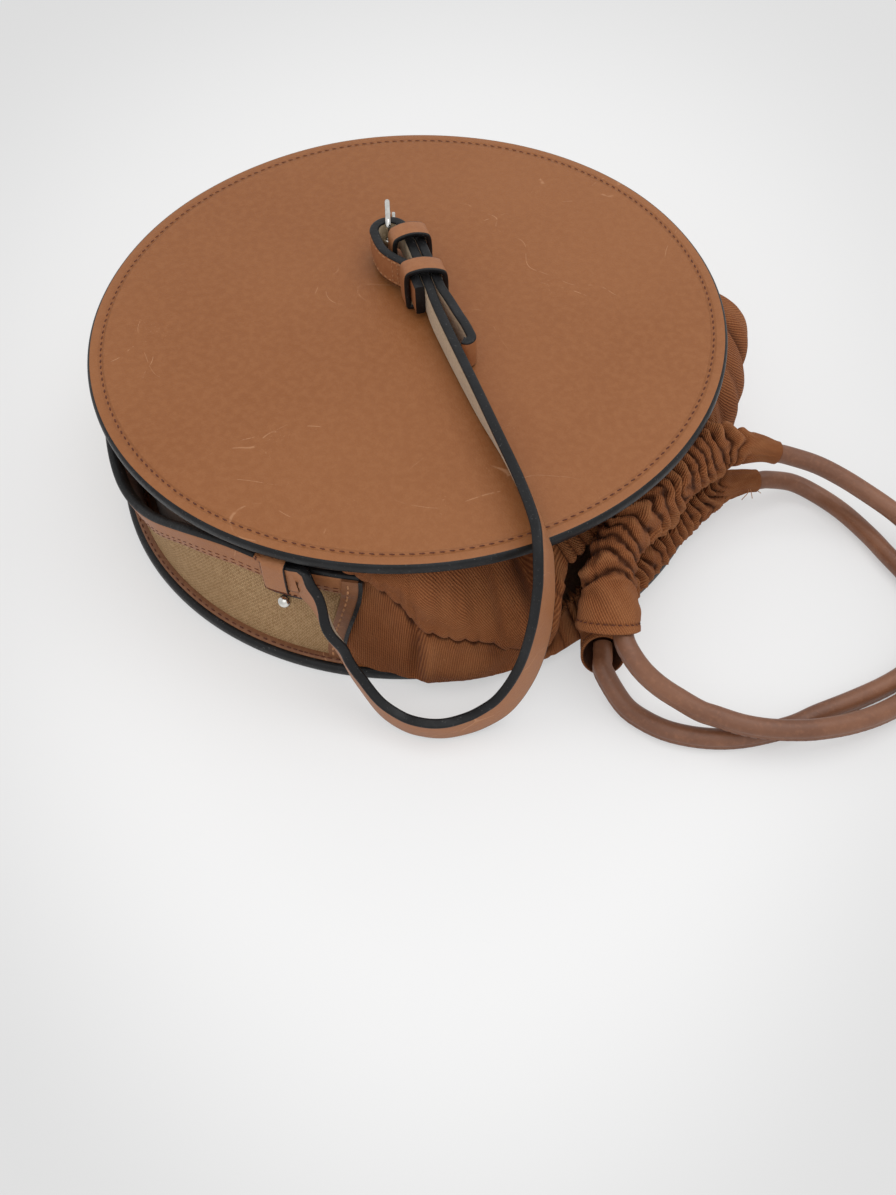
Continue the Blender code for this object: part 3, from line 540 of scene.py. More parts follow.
def roundPanel(name, outer, inward, strength, nodes):
    radius = panel["radius"]
    back = outer + inward * panel["height"]
    profile = [(radius * share / 12, outer) for share in range(12)]
    profile += [(radius - inset, outer + inward * drop) for inset, drop in rimSteps]
    profile += [(radius - inset, back - inward * drop) for inset, drop in reversed(rimSteps)]
    profile += [(inner, back) for inner in (panel["paintRadius"], panel["liningRadius"], radius * 0.6, 0.0)]
    bm = lathe(profile, panel["steps"])
    for face in bm.faces:
        middle = face.calc_center_median()
        inside = abs(middle.z - back) < 0.0001
        if middle.xy.length > (panel["paintRadius"] if inside else radius - panel["paintWidth"]):
            face.material_index = 1
        elif inside and middle.xy.length < panel["liningRadius"]:
            face.material_index = 2
    for vert in bm.verts:
        vert.co.z += warp(vert.co, strength)
    return addPiece(name, bm, [discLeather, blackEdge, liningCloth], "bag", nodes, sharp=70)


roundPanel("frontPanel", panel["depth"], -1, panel["warp"], ("front_leather", "front_board", "front_lining"))
roundPanel("backPanel", 0.0, 1, 0.0, ("back_leather", "back_board", "back_lining"))


def ringStitches(name, height, out, strength):
    radius = panel["stitchRadius"]
    count = round(2 * math.pi * radius / panel["stitchPitch"])
    spots = []
    for index in range(count):
        place = polar(radius, 2 * math.pi * index / count, height)
        place.z += warp(place, strength)
        slant = place.normalized() * (0.13 + 0.10 * noise.noise(place * 300))
        spots.append((place, Vector((0, 0, 1)).cross(place).normalized() + slant, Vector((0, 0, out))))
    stitches(name, spots, panel["stitchSize"], threadDark)


for name, height, out, strength in (
    ("frontFaceStitches", panel["depth"] - 0.00008, 1, panel["warp"]),
    ("frontInnerStitches", panel["depth"] - panel["height"] + 0.00005, -1, panel["warp"]),
    ("backFaceStitches", 0.00005, -1, 0.0),
    ("backInnerStitches", panel["height"] - 0.00005, 1, 0.0),
):
    ringStitches(name, height, out, strength)
print("round panels made")


# Side wall of canvas, slack on one stretch, with its lining, binding, trims and foot
wall = {
    "low": 0.0064,
    "high": 0.0557,
    "halfMouth": math.radians(58.0),
    "slant": math.radians(5.0),
    "slantRun": math.radians(18.0),
    "ripple": 0.0016,
    "slackDrop": 0.0175,
    "slackLean": 0.0050,
    "slackMiddle": math.radians(-113.0),
    "slackHalf": math.radians(33.0),
    "canvas": (0.1161, 0.1150),
    "lining": (0.1146, 0.1137),
    "drum": (0.1098, 0.1090),
    "drumHeights": (0.0050, 0.0618),
    "binding": 0.0100,
    "bindingOuter": 0.1177,
    "bindingInner": 0.1133,
    "trimWidth": 0.0060,
    "trimRadii": (0.1173, 0.1188),
    "trimThick": 0.0011,
    "edgeWidth": 0.0014,
    "inside": 0.1130,
    "mapRadius": 0.1160,
    "endRadius": 0.1170,
}
bindingStitch = {"Low": 0.0088, "High": 0.0070, "pitch": 0.0033, "size": (0.0024, 0.0005, 0.0004)}
footStitch = {"radius": 0.1180, "height": 0.0060, "pitch": 0.0036, "size": (0.0022, 0.0008, 0.0006)}
trimStitch = {"count": 15, "first": 0.0085, "pitch": 0.0031, "in": 0.62, "size": (0.0025, 0.0010, 0.0007)}
wallStart, wallEnd = wall["halfMouth"], 2 * math.pi - wall["halfMouth"]


def slack(angle):
    away = abs(math.remainder(angle - wall["slackMiddle"], 2 * math.pi)) / wall["slackHalf"]
    return math.cos(away * math.pi / 2) ** 2 if away < 1 else 0.0


def wallTop(angle):
    return wall["high"] - wall["slackDrop"] * slack(angle)


def wallPoint(radius, angle, height):
    # the wall sags, ripples, and slants at its two ends
    share = (height - wall["low"]) / (wallTop(angle) - wall["low"])
    ripple = noise.noise(Vector((math.cos(angle) * 6, math.sin(angle) * 6, share * 1.3))) * wall["ripple"]
    ripple *= share * ease((1.15 - share) * 2)
    lean = wall["slackLean"] * slack(angle) * share * abs(share)
    fromEnd = min(angle - wallStart, wallEnd - angle)
    side = 1 if angle < math.pi else -1
    slant = side * wall["slant"] * (1 - ease(share)) * ease(1 - fromEnd / wall["slantRun"])
    return polar(radius + lean + ripple, angle + slant, height)


def hoop(
    name, outline, paints, nodes, slot="tan_leather", pick=None, span=(wallStart, wallEnd), count=280,
    sharp=50, upright=False,
):
    # an outline of (radius, height) carried along the wall
    start, end = span
    last = len(outline(start))
    rows = [outline(between(start, end, index / count)) for index in range(count + 1)]

    def place(across, along):
        index = round(along * count)
        radius, height = rows[index][round(across * last) % last]
        angle = between(start, end, index / count)
        return polar(radius, angle, height) if upright else wallPoint(radius, angle, height)

    def choose(across, along):
        index = int(along * count)
        segment = int(across * last)
        (one, low), (two, high) = rows[index][segment], rows[index][(segment + 1) % last]
        return pick((one + two) / 2, (low + high) / 2, between(start, end, along))

    first = rows[0]
    around = sum(math.dist(one, two) for one, two in zip(first, first[1:] + first[:1]))
    size = (around, wall["mapRadius"] * (end - start))
    bm = wrap((last, count), place, size, True, True, choose if pick else None)
    return addPiece(name, bm, paints, "bag", nodes, slot, sharp)


def layer(radii, low, high, levels=9):
    # the outline of one layer of the wall between two heights
    def outline(angle):
        heights = [between(low(angle), high(angle), index / levels) for index in range(levels + 1)]
        outer, inner = ([(radius, height) for height in heights] for radius in radii)
        return outer + inner[::-1]

    return outline


for name, radii, paint, node, slot in (
    ("canvasWall", wall["canvas"], canvas, "side_wall", "canvas"),
    ("wallLining", wall["lining"], liningCloth, "wall_lining", "suede"),
):
    sheet = layer(radii, lambda a: wall["low"] - 0.0008, lambda a: wallTop(a) - 0.0012)
    hoop(name, sheet, [paint], (node,), slot)
drum = layer(wall["drum"], lambda a: wall["drumHeights"][0], lambda a: wall["drumHeights"][1], 4)
hoop("liningDrum", drum, [liningCloth], ("lining_drum",), "lining_cloth", count=160, upright=True)


def bindingOutline(angle):
    # outer face, painted top edge and a short turn inside
    top, low = wallTop(angle), wallTop(angle) - wall["binding"]
    outer, inner = wall["bindingOuter"], wall["bindingInner"]
    return [
        (outer - 0.0012, low), (outer - 0.0003, low), (outer, low + 0.0004), (outer, low + 0.0035),
        (outer, top - 0.0024), (outer - 0.0001, top - 0.0010), (outer - 0.0007, top - 0.0002),
        (outer - 0.0016, top + 0.0002), (inner + 0.0012, top + 0.0002), (inner + 0.0003, top - 0.0003),
        (inner, top - 0.0012), (inner, top - 0.0032), (inner + 0.0010, top - 0.0032),
        (inner + 0.0010, top - 0.0018), (outer - 0.0012, top - 0.0018),
    ]


def bindingPick(radius, height, angle):
    return 0 if height < wallTop(angle) - 0.0012 and radius > 0.116 else 1


bindingPaints = [trimLeather, blackEdge]
hoop("wallBinding", bindingOutline, bindingPaints, ("wall_top_binding",), pick=bindingPick, sharp=60)
trimAngle = wall["trimWidth"] / wall["endRadius"]
edgeAngle = wall["edgeWidth"] / wall["endRadius"]


def trimRadius(height):
    # it steps out over the binding's end
    climb = height - wall["high"] + wall["binding"] + 0.0012
    return between(*wall["trimRadii"], ease(climb / 0.0018))


def trimOutline(angle):
    heights = [between(wall["low"] - 0.0004, wall["high"] - 0.0008, index / 24) for index in range(25)]
    outer = [(trimRadius(height), height) for height in heights]
    return outer + [(radius - wall["trimThick"], height) for radius, height in reversed(outer)]


def endEdgeOutline(angle):
    # the painted edge that closes each end of the wall
    heights = [between(wall["low"], wall["high"] + 0.0003, index / 12) for index in range(13)]
    outer = [(trimRadius(height) + 0.0006, height) for height in heights]
    return outer + [(wall["inside"], height) for height in reversed(heights)]


for side, start, edge in (("far", wallStart, wallStart - edgeAngle), ("near", wallEnd - trimAngle, wallEnd)):
    span = (start, start + trimAngle)
    hoop(f"{side}EndTrim", trimOutline, [endTrimLeather], (f"wall_end_trim_{side}",), span=span, count=10)
    hoop(f"{side}EndEdge", endEdgeOutline, [blackEdge], (), span=(edge, edge + edgeAngle), count=4)
footOutline = [
    (wall["inside"], 0.0048), (0.1184, 0.0048), (0.1188, 0.0052), (0.1184, 0.0057), (0.1172, 0.0061),
    (wall["inside"], 0.0061),
]
hoop("wallFoot", lambda a: footOutline, [endTrimLeather], ("wall_foot",))


def wallStitches(name, radius, height, look):
    count = round((wallEnd - wallStart) * radius / look["pitch"])
    spots = []
    for index in range(count):
        angle = between(wallStart, wallEnd, (index + 0.5) / count)
        here, after = (wallPoint(radius, turn, height(turn)) for turn in (angle, angle + 0.01))
        spots.append((here, after - here, polar(1, angle)))
    stitches(name, spots, look["size"], threadDark)


for row in ("Low", "High"):
    down = bindingStitch[row]
    wallStitches(f"bindingStitches{row}", wall["bindingOuter"], lambda a: wallTop(a) - down, bindingStitch)
wallStitches("footStitches", footStitch["radius"], lambda a: footStitch["height"], footStitch)
inward = trimAngle * trimStitch["in"]
for side, angle in (("near", wallEnd - inward), ("far", wallStart + inward)):
    spots = []
    for index in range(trimStitch["count"]):
        heights = [trimStitch["first"] + trimStitch["pitch"] * (index + more) for more in (0, 0.3)]
        here, above = (wallPoint(trimRadius(height), angle, height) for height in heights)
        spots.append((here, above - here, polar(1, angle)))
    stitches(f"{side}TrimStitches", spots, trimStitch["size"], threadTan)
print("side wall made")


# Cloth mouth: two panels meeting at a puckered seam on each side of the mouth
cloth = {
    "half": math.radians(67.0),
    "slit": math.radians(21.0),
    "blend": math.radians(7.0),
    "slitX": 0.1060,
    "rimHeight": 0.0618,
    "floorHeight": 0.0050,
    "frontHeight": 0.0400,
    "backHeight": 0.0155,
    "around": 0.122,
    "thick": 0.0011,
    "pucker": 0.0052,
    "scallop": 0.0006,
    "gatherPitch": 0.0052,
    "gather": 0.0024,
    "sag": 0.0016,
    "smallSag": 0.0005,
    "ripple": 0.0013,
    "lip": 0.0007,
    "columns": 560,
}
seamHeights = {
    -1: (
        (20, 0.010), (26, 0.0085), (31.5, 0.0170), (34, 0.0190), (38.4, 0.0262), (42, 0.0290),
        (45, 0.0315), (46.9, 0.0338), (48.7, 0.0360), (49.8, 0.0398), (50.3, 0.0432), (51.3, 0.0465),
        (53.8, 0.0510), (55.6, 0.0550), (60, 0.0575),
    ),
    1: (
        (20, 0.012), (30, 0.014), (38, 0.019), (44, 0.026), (49, 0.036), (53, 0.046), (57, 0.054),
        (60, 0.0565),
    ),
}
seamRadii = {
    -1: (
        (20, 0.1190), (26, 0.1235), (34, 0.1245), (42, 0.1240), (47, 0.1230), (50, 0.1205),
        (54, 0.1175), (58, 0.1155), (63, 0.1130),
    ),
    1: (
        (20, 0.1190), (26, 0.1240), (34, 0.1275), (42, 0.1290), (47, 0.1290), (51, 0.1255),
        (55, 0.1190), (58, 0.1145), (63, 0.1125),
    ),
}
rimRadii = {
    -1: (
        (0, 0.1120), (9, 0.0970), (20, 0.0925), (28, 0.0950), (34, 0.0990), (39, 0.1025), (44, 0.1085),
        (49, 0.1145), (54, 0.1158), (58, 0.1150), (63, 0.1135),
    ),
    1: (
        (20, 0.1120), (27, 0.1100), (36, 0.1140), (44, 0.1158), (54, 0.1158), (58, 0.1148),
        (63, 0.1130),
    ),
}
floorRadii = {
    -1: (
        (0, 0.1190), (20, 0.1240), (27, 0.1255), (39, 0.1262), (47.6, 0.1255), (50.5, 0.1232),
        (55, 0.1205), (61, 0.1178), (64, 0.1150), (66, 0.1130),
    ),
    1: (
        (0, 0.1190), (20, 0.1240), (27, 0.1262), (36, 0.1280), (44, 0.1280), (50, 0.1240), (55, 0.1195),
        (60, 0.1165), (64, 0.1135),
    ),
}
upperBellies = {
    -1: (
        (20, 0.000), (26, 0.0015), (33, 0.0030), (42, 0.0048), (48, 0.0052), (54, 0.0030), (60, 0.0010),
        (64, 0.0),
    ),
    1: ((20, 0.001), (26, 0.0060), (34, 0.0100), (42, 0.0120), (48, 0.0110), (53, 0.0050), (58, 0.0)),
}
# how far down the cloth stays tucked in under the front panel, where it is also painted in shade
hollows = {
    -1: (
        (0, 0.0), (5, 0.30), (9, 0.72), (14, 0.86), (20, 0.80), (25, 0.58), (30, 0.46), (36, 0.28),
        (41, 0.13), (47, 0.0),
    ),
    1: ((0, 0.0), (60, 0.0)),
}
# folds of each side: (degrees round at the rim, degrees more at the seam, half width in
# degrees, depth), a ridge where the depth is above 0 and a crease where it is below
upperFolds = {
    -1: (
        (-45, 5, 4.0, 0.0005), (-29, -3, 1.8, -0.0024), (-25, 1, 1.2, -0.0020), (-33, -2, 1.6, 0.0010),
    ),
    1: (
        (40.5, -3, 1.5, -0.0034), (46, 3, 2.2, 0.0016), (34, 2, 1.4, -0.0018), (51, 2, 1.8, -0.0014),
        (29, 2, 1.4, -0.0018),
    ),
}
lowerFolds = {
    -1: (
        (-49.4, 1.6, 1.3, -0.0024), (-47.6, 1.2, 1.3, 0.0020), (-41, 2, 4.4, 0.0014),
        (-35, -2, 1.5, -0.0010), (-30, 2, 1.4, -0.0022), (-56, 2, 2.0, -0.0008),
    ),
    1: ((50, 3, 1.5, -0.0016), (43, -3, 2.0, 0.0014), (37, 2, 1.5, -0.0018), (30, 2, 1.5, -0.0020)),
}


def besideMouth(angle):
    return ease((abs(angle) - cloth["slit"]) / cloth["blend"])


def clothTable(tables, angle):
    return table(tables[-1 if angle < 0 else 1], abs(math.degrees(angle)))


def foldNoise(angle, level, seed, around, upward):
    return noise.noise(Vector((math.degrees(angle) * around, level * upward, seed)))


def foldsAt(folds, angle, share):
    degrees, found = math.degrees(angle), 0.0
    for place, drift, half, depth in folds[-1 if angle < 0 else 1]:
        found += depth * math.exp(-(((degrees - place - drift * (share - 0.5)) / half) ** 2))
    return found


def scallop(angle):
    # the little arcs that the seam's thread pulls the cloth into
    run = angle * cloth["around"] / cloth["pucker"]
    run += 0.35 * noise.noise(Vector((math.degrees(angle) * 0.5, 2.0, 0.0)))
    return abs(math.sin(math.pi * run))


def gathers(angle, seed):
    # the cloth's pleats behind a channel: 0 in a valley, painted in shade, 1 on a crest, painted lighter
    run = math.tan(max(min(angle, 0.5), -0.5)) * cloth["slitX"] / cloth["gatherPitch"]
    phase = run + 0.55 * noise.noise(Vector((run * 0.45, seed, 0.0)))
    phase -= math.floor(phase)
    return 1 - abs(2 * phase - 1) ** 2.4


def seamTilt(angle):
    # how much nearer than straight down the seam is, where it runs steeply
    step = math.radians(0.8)
    climb = clothTable(seamHeights, angle + step) - clothTable(seamHeights, angle - step)
    climb /= 2 * step * cloth["around"]
    return 1 / math.sqrt(1 + climb * climb)


def seamHeight(angle, atMouth):
    # beside the mouth the seam's height, at the mouth the slit's
    height = clothTable(seamHeights, angle) - cloth["scallop"] * scallop(angle)
    return between(atMouth, height, besideMouth(angle))


def seamRadius(angle, inward=0.0):
    beside = besideMouth(angle)
    slit = cloth["slitX"] / math.cos(angle) if beside < 1 else 0.0
    return between(slit, clothTable(seamRadii, angle) - inward, beside)


upperCut = {"folds": upperFolds, "seed": 5.0, "tuck": 0.0022, "rows": 52, "bunched": 1.6}
lowerCut = {"folds": lowerFolds, "seed": 21.0, "tuck": 0.0020, "rows": 46, "bunched": 1.5}


def clothPoint(cut, angle, share, height, radius, seamGap, shade, hollow=0.0):
    # a place with its folds, its gathers behind the channels and its tuck into the seam
    beside, seed = besideMouth(angle), cut["seed"]
    bulge = math.sin(math.pi * min(max(share, 0.0), 1.0)) ** 0.6
    gather = gathers(angle, seed)
    sag = foldNoise(angle, share, seed, 0.12, 2.2) * cloth["sag"]
    sag += foldNoise(angle, share, seed + 6, 0.3, 3.0) * cloth["smallSag"]
    crease = foldsAt(cut["folds"], angle, share) * bulge
    small = foldNoise(angle, share, seed + 9, 1.6, 12.0) * 0.00015
    groove = math.exp(-((seamGap / 0.0009) ** 2))
    ripple = (scallop(angle) - 0.5) * cloth["ripple"] * math.exp(-seamGap / 0.0035)
    radius += (sag * bulge + crease + small + ripple - cut["tuck"] * groove) * beside
    radius += (1 - beside) * gather * cloth["gather"] * ease(share * 1.4)
    # ridges painted lighter and creases painted darker: painted highlight and shade
    crestLight = 0.55 + crease * 130 + sag * 40
    # the mouth's pleats, and a band of painted shade along the seam
    crestLight = between(gather, crestLight, beside) * (1 - math.exp(-((seamGap / shade) ** 4)) * beside)
    # painted shade on the cloth tucked into the hollow under the front panel
    crestLight *= 1 - ease(hollow * 4) * ease((hollow * 1.1 - share) * 9)
    return Vector((*polar(radius, angle, height), min(max(crestLight, 0.0), 1.0)))


def upperPoint(across, along):
    angle = between(-cloth["half"], cloth["half"], across)
    share = 1 - (1 - along) ** upperCut["bunched"]
    beside = besideMouth(angle)
    low = seamHeight(angle, cloth["frontHeight"])
    height = between(cloth["rimHeight"], low, share)
    seamGap = (1 - share) * max(cloth["rimHeight"] - low, 0.004) * seamTilt(angle)
    hollow = clothTable(hollows, angle)
    reach = between(1.25, 0.34, min(hollow / 0.46, 1.0))
    drawnOut = ease((share - hollow) / reach) / ease((1 - hollow) / reach)
    radius = between(clothTable(rimRadii, angle), seamRadius(angle), drawnOut)
    below = max(0.0, share - hollow * 0.8) / (1 - hollow * 0.8)
    radius += clothTable(upperBellies, angle) * math.sin(math.pi * below**0.85) * beside
    radius += cloth["lip"] * math.exp(-(((seamGap - 0.0022) / 0.0018) ** 2)) * beside
    spot = clothPoint(upperCut, angle, share, height, radius, seamGap, 0.0006, hollow)
    # at the mouth, the cloth above the front channel is painted in shade under the front panel
    spot.w *= 1 - (1 - beside) * ease((height - 0.0415) / 0.004)
    return spot


def lowerPoint(across, along):
    angle = between(-cloth["half"], cloth["half"], across)
    share = 1 - (1 - along) ** lowerCut["bunched"]
    high = seamHeight(angle, cloth["backHeight"])
    height = between(cloth["floorHeight"], high, share)
    seamGap = (1 - share) * max(high - cloth["floorHeight"], 0.004) * seamTilt(angle)
    radius = between(clothTable(floorRadii, angle), seamRadius(angle, 0.0006), ease(share))
    degrees = abs(math.degrees(angle))
    belly = (0.0018 if degrees < 49 else 0.0003) * ease((high - 0.012) / 0.02) * besideMouth(angle)
    radius += math.sin(math.pi * share) * belly
    # the band of painted shade below the seam, wider where the seam runs steeply
    shade = between(0.0023, 0.0038, ease((degrees - 49) / 2))
    return clothPoint(lowerCut, angle, share, height, radius, seamGap, shade)


def clothPanel(name, cut, place, paint, node):
    size = (2 * cloth["half"] * cloth["around"], 0.045)
    bm = wrap((cloth["columns"], cut["rows"]), place, size, thickness=cloth["thick"])
    return addPiece(name, bm, [paint], "bag", (node,), "twill", 60)


upperCloth = clothPanel("mouthClothUpper", upperCut, upperPoint, twill, "pouch_front_panel")
lowerCloth = clothPanel("mouthClothLower", lowerCut, lowerPoint, twillUpright, "pouch_back_panel")
print("mouth cloth made")


# Ruched channels that carry the handles
nearRouteShares = ((0.0, 1.0, 1.0), (0.45, 0.80, 0.60), (0.88, 0.62, 0.22), (1.0, 0.30, 0.0))
farRouteShares = ((1.0, 0.0, 0.0), (1.0, 0.33, 0.0), (0.88, 0.62, 0.12), (0.45, 0.84, 0.5), (0.0, 1.0, 1.0))
mouthFittings = {
    "front": {
        "height": 0.0410,
        "half": 0.0105,
        "hingeX": 0.138,
        "hingeZ": 0.0295,
        "near": -0.05021,
        "far": 0.06016,
        "shift": 0.0036,
        "pitch": 0.0058,
        "seed": 3.0,
        "hemWide": 0.0112,
        "hemTall": 0.0060,
        "overhang": 0.0038,
    },
    "back": {
        "height": 0.0146,
        "half": 0.0080,
        "hingeX": 0.132,
        "hingeZ": 0.0105,
        "near": -0.05268,
        "far": 0.06175,
        "shift": 0.0,
        "pitch": 0.0054,
        "seed": 9.0,
        "hemWide": 0.0080,
        "hemTall": 0.0064,
        "overhang": -0.0046,
    },
}
channelSet = {
    "middle": 0.115,
    "halfWidth": 0.0090,
    "tail": 0.00435,
    "cut": 0.00515,
    "rings": 420,
    "sides": 64,
    "hemShare": 0.088,
    "hemRun": 0.0030,
    "hemStitches": 26,
    "hemRing": 9,
    "hemStitch": (0.0019, 0.0006, 0.0005),
    "hemBand": 0.00045,
    "pleat": 0.0033,
    "pinch": 0.0016,
    "tailFolds": 0.0011,
    "crease": 0.0016,
    "baggy": 0.0014,
}


def channelRoute(fitting):
    points = []
    for shares, side in ((nearRouteShares, fitting["near"]), (farRouteShares, fitting["far"])):
        for inShare, acrossShare, droopShare in shares:
            points.append(
                Vector((
                    between(fitting["hingeX"], channelSet["middle"], inShare),
                    side * acrossShare,
                    between(fitting["height"], fitting["hingeZ"], droopShare),
                ))
            )
    return points


def shorten(points, cut):
    points = [point.copy() for point in points]
    for end, inner in ((0, 1), (-1, -2)):
        points[end] += (points[inner] - points[end]).normalized() * cut
    return points


def swirl(run, turn, along, around, seed):
    # noise that is closed round the tube
    return noise.noise(Vector((run * along, math.cos(turn) * around + seed, math.sin(turn) * around - seed)))


def makeChannel(side, fitting):
    route = shorten(channelRoute(fitting), channelSet["cut"])
    for index, share in enumerate((1.0, 0.6)):
        route[index] -= Vector((1, 1, 0)) * fitting["shift"] * share
    count, seed = channelSet["rings"], fitting["seed"]
    half, tail = channelSet["halfWidth"], channelSet["tail"]
    spots = stations(smoothPath(route, count + 1))
    total = lengthOf([spot[0] for spot in spots])
    wide = ((0, fitting["hemWide"]), (0.2, half), (0.72, half), (0.985, tail))
    tall = ((0, fitting["hemTall"]), (0.22, fitting["half"]), (0.72, fitting["half"]), (0.985, tail))
    lips = [(0.085, -0.0016), (0.04, -0.0014), (0.012, -0.0013), (0.002, -0.0011), (0.0, -0.0006)]
    rings = lips + [((index + 1) / (count + 2), 0.0) for index in range(count)]
    rings += [(1.0, -0.0004), (0.998, -0.0010), (0.99, -0.0012)]

    def place(across, along):
        share, inset = rings[round(along * (len(rings) - 1))]
        index = share * count
        low = min(int(index), count - 1)
        point = spots[low][0].lerp(spots[low + 1][0], index - low)
        right, up = spots[low][1], spots[low][2]
        way = (spots[low + 1][0] - spots[low][0]).normalized()
        turn, run = 2 * math.pi * across, share * total
        slanted = share + 0.012 * math.sin(turn + seed)
        gathered = ease((slanted - channelSet["hemShare"]) / 0.05)
        cone = ease((share - 0.80) / 0.11)
        phase = run / fitting["pitch"] + 0.20 * math.sin(turn * 2 + run * 60)
        phase += 1.7 * swirl(run, turn, 45, 0.8, seed) + 0.38 * swirl(run, turn, 110, 1.6, seed)
        phase -= math.floor(phase)
        wave = 1 - abs(2 * phase - 1) ** 1.6
        fat = 0.30 + 1.7 * max(0.0, swirl(run, turn, 80, 1.1, seed + 5) + 0.32)
        pinch = abs(swirl(run, turn, 260, 2.8, seed + 2))
        pleated = gathered * (1 - cone)
        pleat = ((wave - 0.66) * channelSet["pleat"] * fat - pinch * channelSet["pinch"]) * pleated
        lengthwise = (0.5 - abs(swirl(run, turn, 16, 3.4, seed))) * channelSet["tailFolds"] * cone
        lengthwise *= 1 - 0.6 * ease((share - 0.93) / 0.06)
        diagonal = noise.noise(Vector((run * 150 + math.cos(turn) * 1.6, math.sin(turn) * 1.2, 4.0 + seed)))
        crease = diagonal * channelSet["crease"] * (1 - gathered) * ease((share - 0.02) * 14)
        hemGap = run - channelSet["hemRun"]
        band = channelSet["hemBand"] * math.exp(-((hemGap / 0.0005) ** 2))
        bag = swirl(run, turn, 40, 0.8, seed + 7) * channelSet["baggy"] * pleated
        more = pleat + crease + lengthwise + inset - band + bag
        lean = way * (-math.sin(turn) * fitting["overhang"] * (1 - ease(share / 0.10)))
        # crest light: pleat valleys painted in shade and crests painted lighter, with painted shade along the
        # hem's line and inside the turned-in ends
        crestLight = between(0.66 + diagonal * 0.3, wave * (0.55 + 0.45 * fat) - pinch * 0.6, pleated)
        crestLight *= 1 - 0.5 * math.exp(-((hemGap / 0.0004) ** 2))
        crestLight *= 1 - ease(inset / -0.0012)
        sideways = right * ((table(wide, share) + more) * math.cos(turn))
        spot = point + sideways + up * ((table(tall, share) + more) * math.sin(turn)) + lean
        spot.z = max(spot.z, 0.0004)
        return Vector((*spot, min(max(crestLight, 0.0), 1.0)))

    bm = wrap((channelSet["sides"], len(rings) - 1), place, (0.062, total), True, True)
    addPiece(f"{side}Channel", bm, [twill], "bag", (f"channel_{side}",), "twill", 80)
    hem = []
    point, right, up = spots[channelSet["hemRing"]]
    for index in range(channelSet["hemStitches"]):
        share = index / channelSet["hemStitches"]
        turn = 2 * math.pi * share
        here = place(share, (len(lips) + channelSet["hemRing"]) / (len(rings) - 1)).to_3d()
        out = right * math.cos(turn) + up * math.sin(turn)
        hem.append((here + out * 0.00012, up * math.cos(turn) - right * math.sin(turn), out))
    stitches(f"{side}HemStitches", hem, channelSet["hemStitch"], threadDark, slot="twill")
    return spots


# how far each stray thread goes sideways, down and along
strayThreads = ((0.0045, -0.0020, -0.004), (0.0020, -0.0042, 0.001), (-0.0010, -0.0046, 0.005))


def looseThreads(end, way):
    # stray thread ends at the tail of the back channel
    bm = bmesh.new()
    side = way.cross(Vector((0, 0, 1))).normalized()
    for index, (sideways, drop, reach) in enumerate(strayThreads):
        start = end - way * (0.0050 - 0.0008 * index) + side * 0.0036
        points = [start]
        for aside, onward in ((0.5, 0.2), (1.0, 1.0)):
            away = Vector((0, 0, drop * onward)) + way * reach * onward
            points.append(start + side * sideways * aside + away)
        spots = tubeStations(smoothPath(points, 12), Vector((0.1, 0.2, 1)))
        strand = sweep(spots, circle(0.00016, 6), edged=False)
        mesh = bpy.data.meshes.new("strand")
        strand.to_mesh(mesh)
        strand.free()
        bm.from_mesh(mesh)
        bpy.data.meshes.remove(mesh)
    addPiece("looseThreads", bm, [threadTan], "bag", slot="twill", sharp=180)


# Handle routes: shares of the reach, the spread and the climb, and how far it lies on the other handle
frontLoopShares = (
    (0.000, -0.893, 1.00, 0.00), (0.060, -0.927, 0.90, 0.00), (0.125, -0.934, 0.72, 0.12),
    (0.198, -0.923, 0.55, 0.25), (0.275, -0.900, 0.40, 0.40), (0.358, -0.874, 0.25, 0.60),
    (0.417, -0.838, 0.15, 0.76), (0.512, -0.787, 0.04, 0.98), (0.600, -0.722, 0.00, 1.05),
    (0.680, -0.642, 0.00, 1.02), (0.753, -0.549, 0.00, 0.95), (0.842, -0.385, 0.00, 0.73),
    (0.918, -0.181, 0.00, 0.47), (0.981, 0.080, 0.00, 0.30), (1.000, 0.300, 0.00, 0.22),
    (0.974, 0.520, 0.00, 0.25), (0.895, 0.730, 0.00, 0.35), (0.780, 0.880, 0.08, 0.40),
    (0.635, 0.980, 0.22, 0.40), (0.490, 1.017, 0.38, 0.30), (0.311, 1.007, 0.55, 0.26),
    (0.191, 0.973, 0.72, 0.15), (0.099, 0.925, 0.88, 0.00), (0.000, 0.845, 1.00, 0.00),
)
backLoopShares = (
    (0.000, -0.932, 1.00), (0.088, -0.981, 0.42), (0.166, -1.007, 0.05), (0.249, -1.010, 0.00),
    (0.332, -0.994, 0.00), (0.408, -0.956, 0.00), (0.484, -0.899, 0.00), (0.559, -0.821, 0.00),
    (0.632, -0.714, 0.00), (0.723, -0.539, 0.00), (0.776, -0.390, 0.00), (0.852, -0.196, 0.00),
    (0.924, 0.012, 0.00), (0.963, 0.190, 0.00), (0.961, 0.370, 0.00), (0.918, 0.550, 0.00),
    (0.840, 0.690, 0.00), (0.755, 0.775, 0.00), (0.602, 0.868, 0.00), (0.495, 0.933, 0.00),
    (0.342, 1.003, 0.00), (0.201, 1.034, 0.00), (0.081, 0.993, 0.40), (0.000, 0.870, 1.00),
)
handle = {
    "radius": 0.00365,
    "around": 0.023,
    "reach": 0.088,
    "halfSpread": 0.0635,
    "middle": 0.0065,
    "gap": 0.0003,
    "seam": math.radians(-36),
    "lip": 0.00050,
    "dip": 0.00035,
    "stitchTurn": 0.12,
    "stitchSize": (0.0017, 0.0005, 0.0003),
    "steps": 360,
    "sides": 36,
}


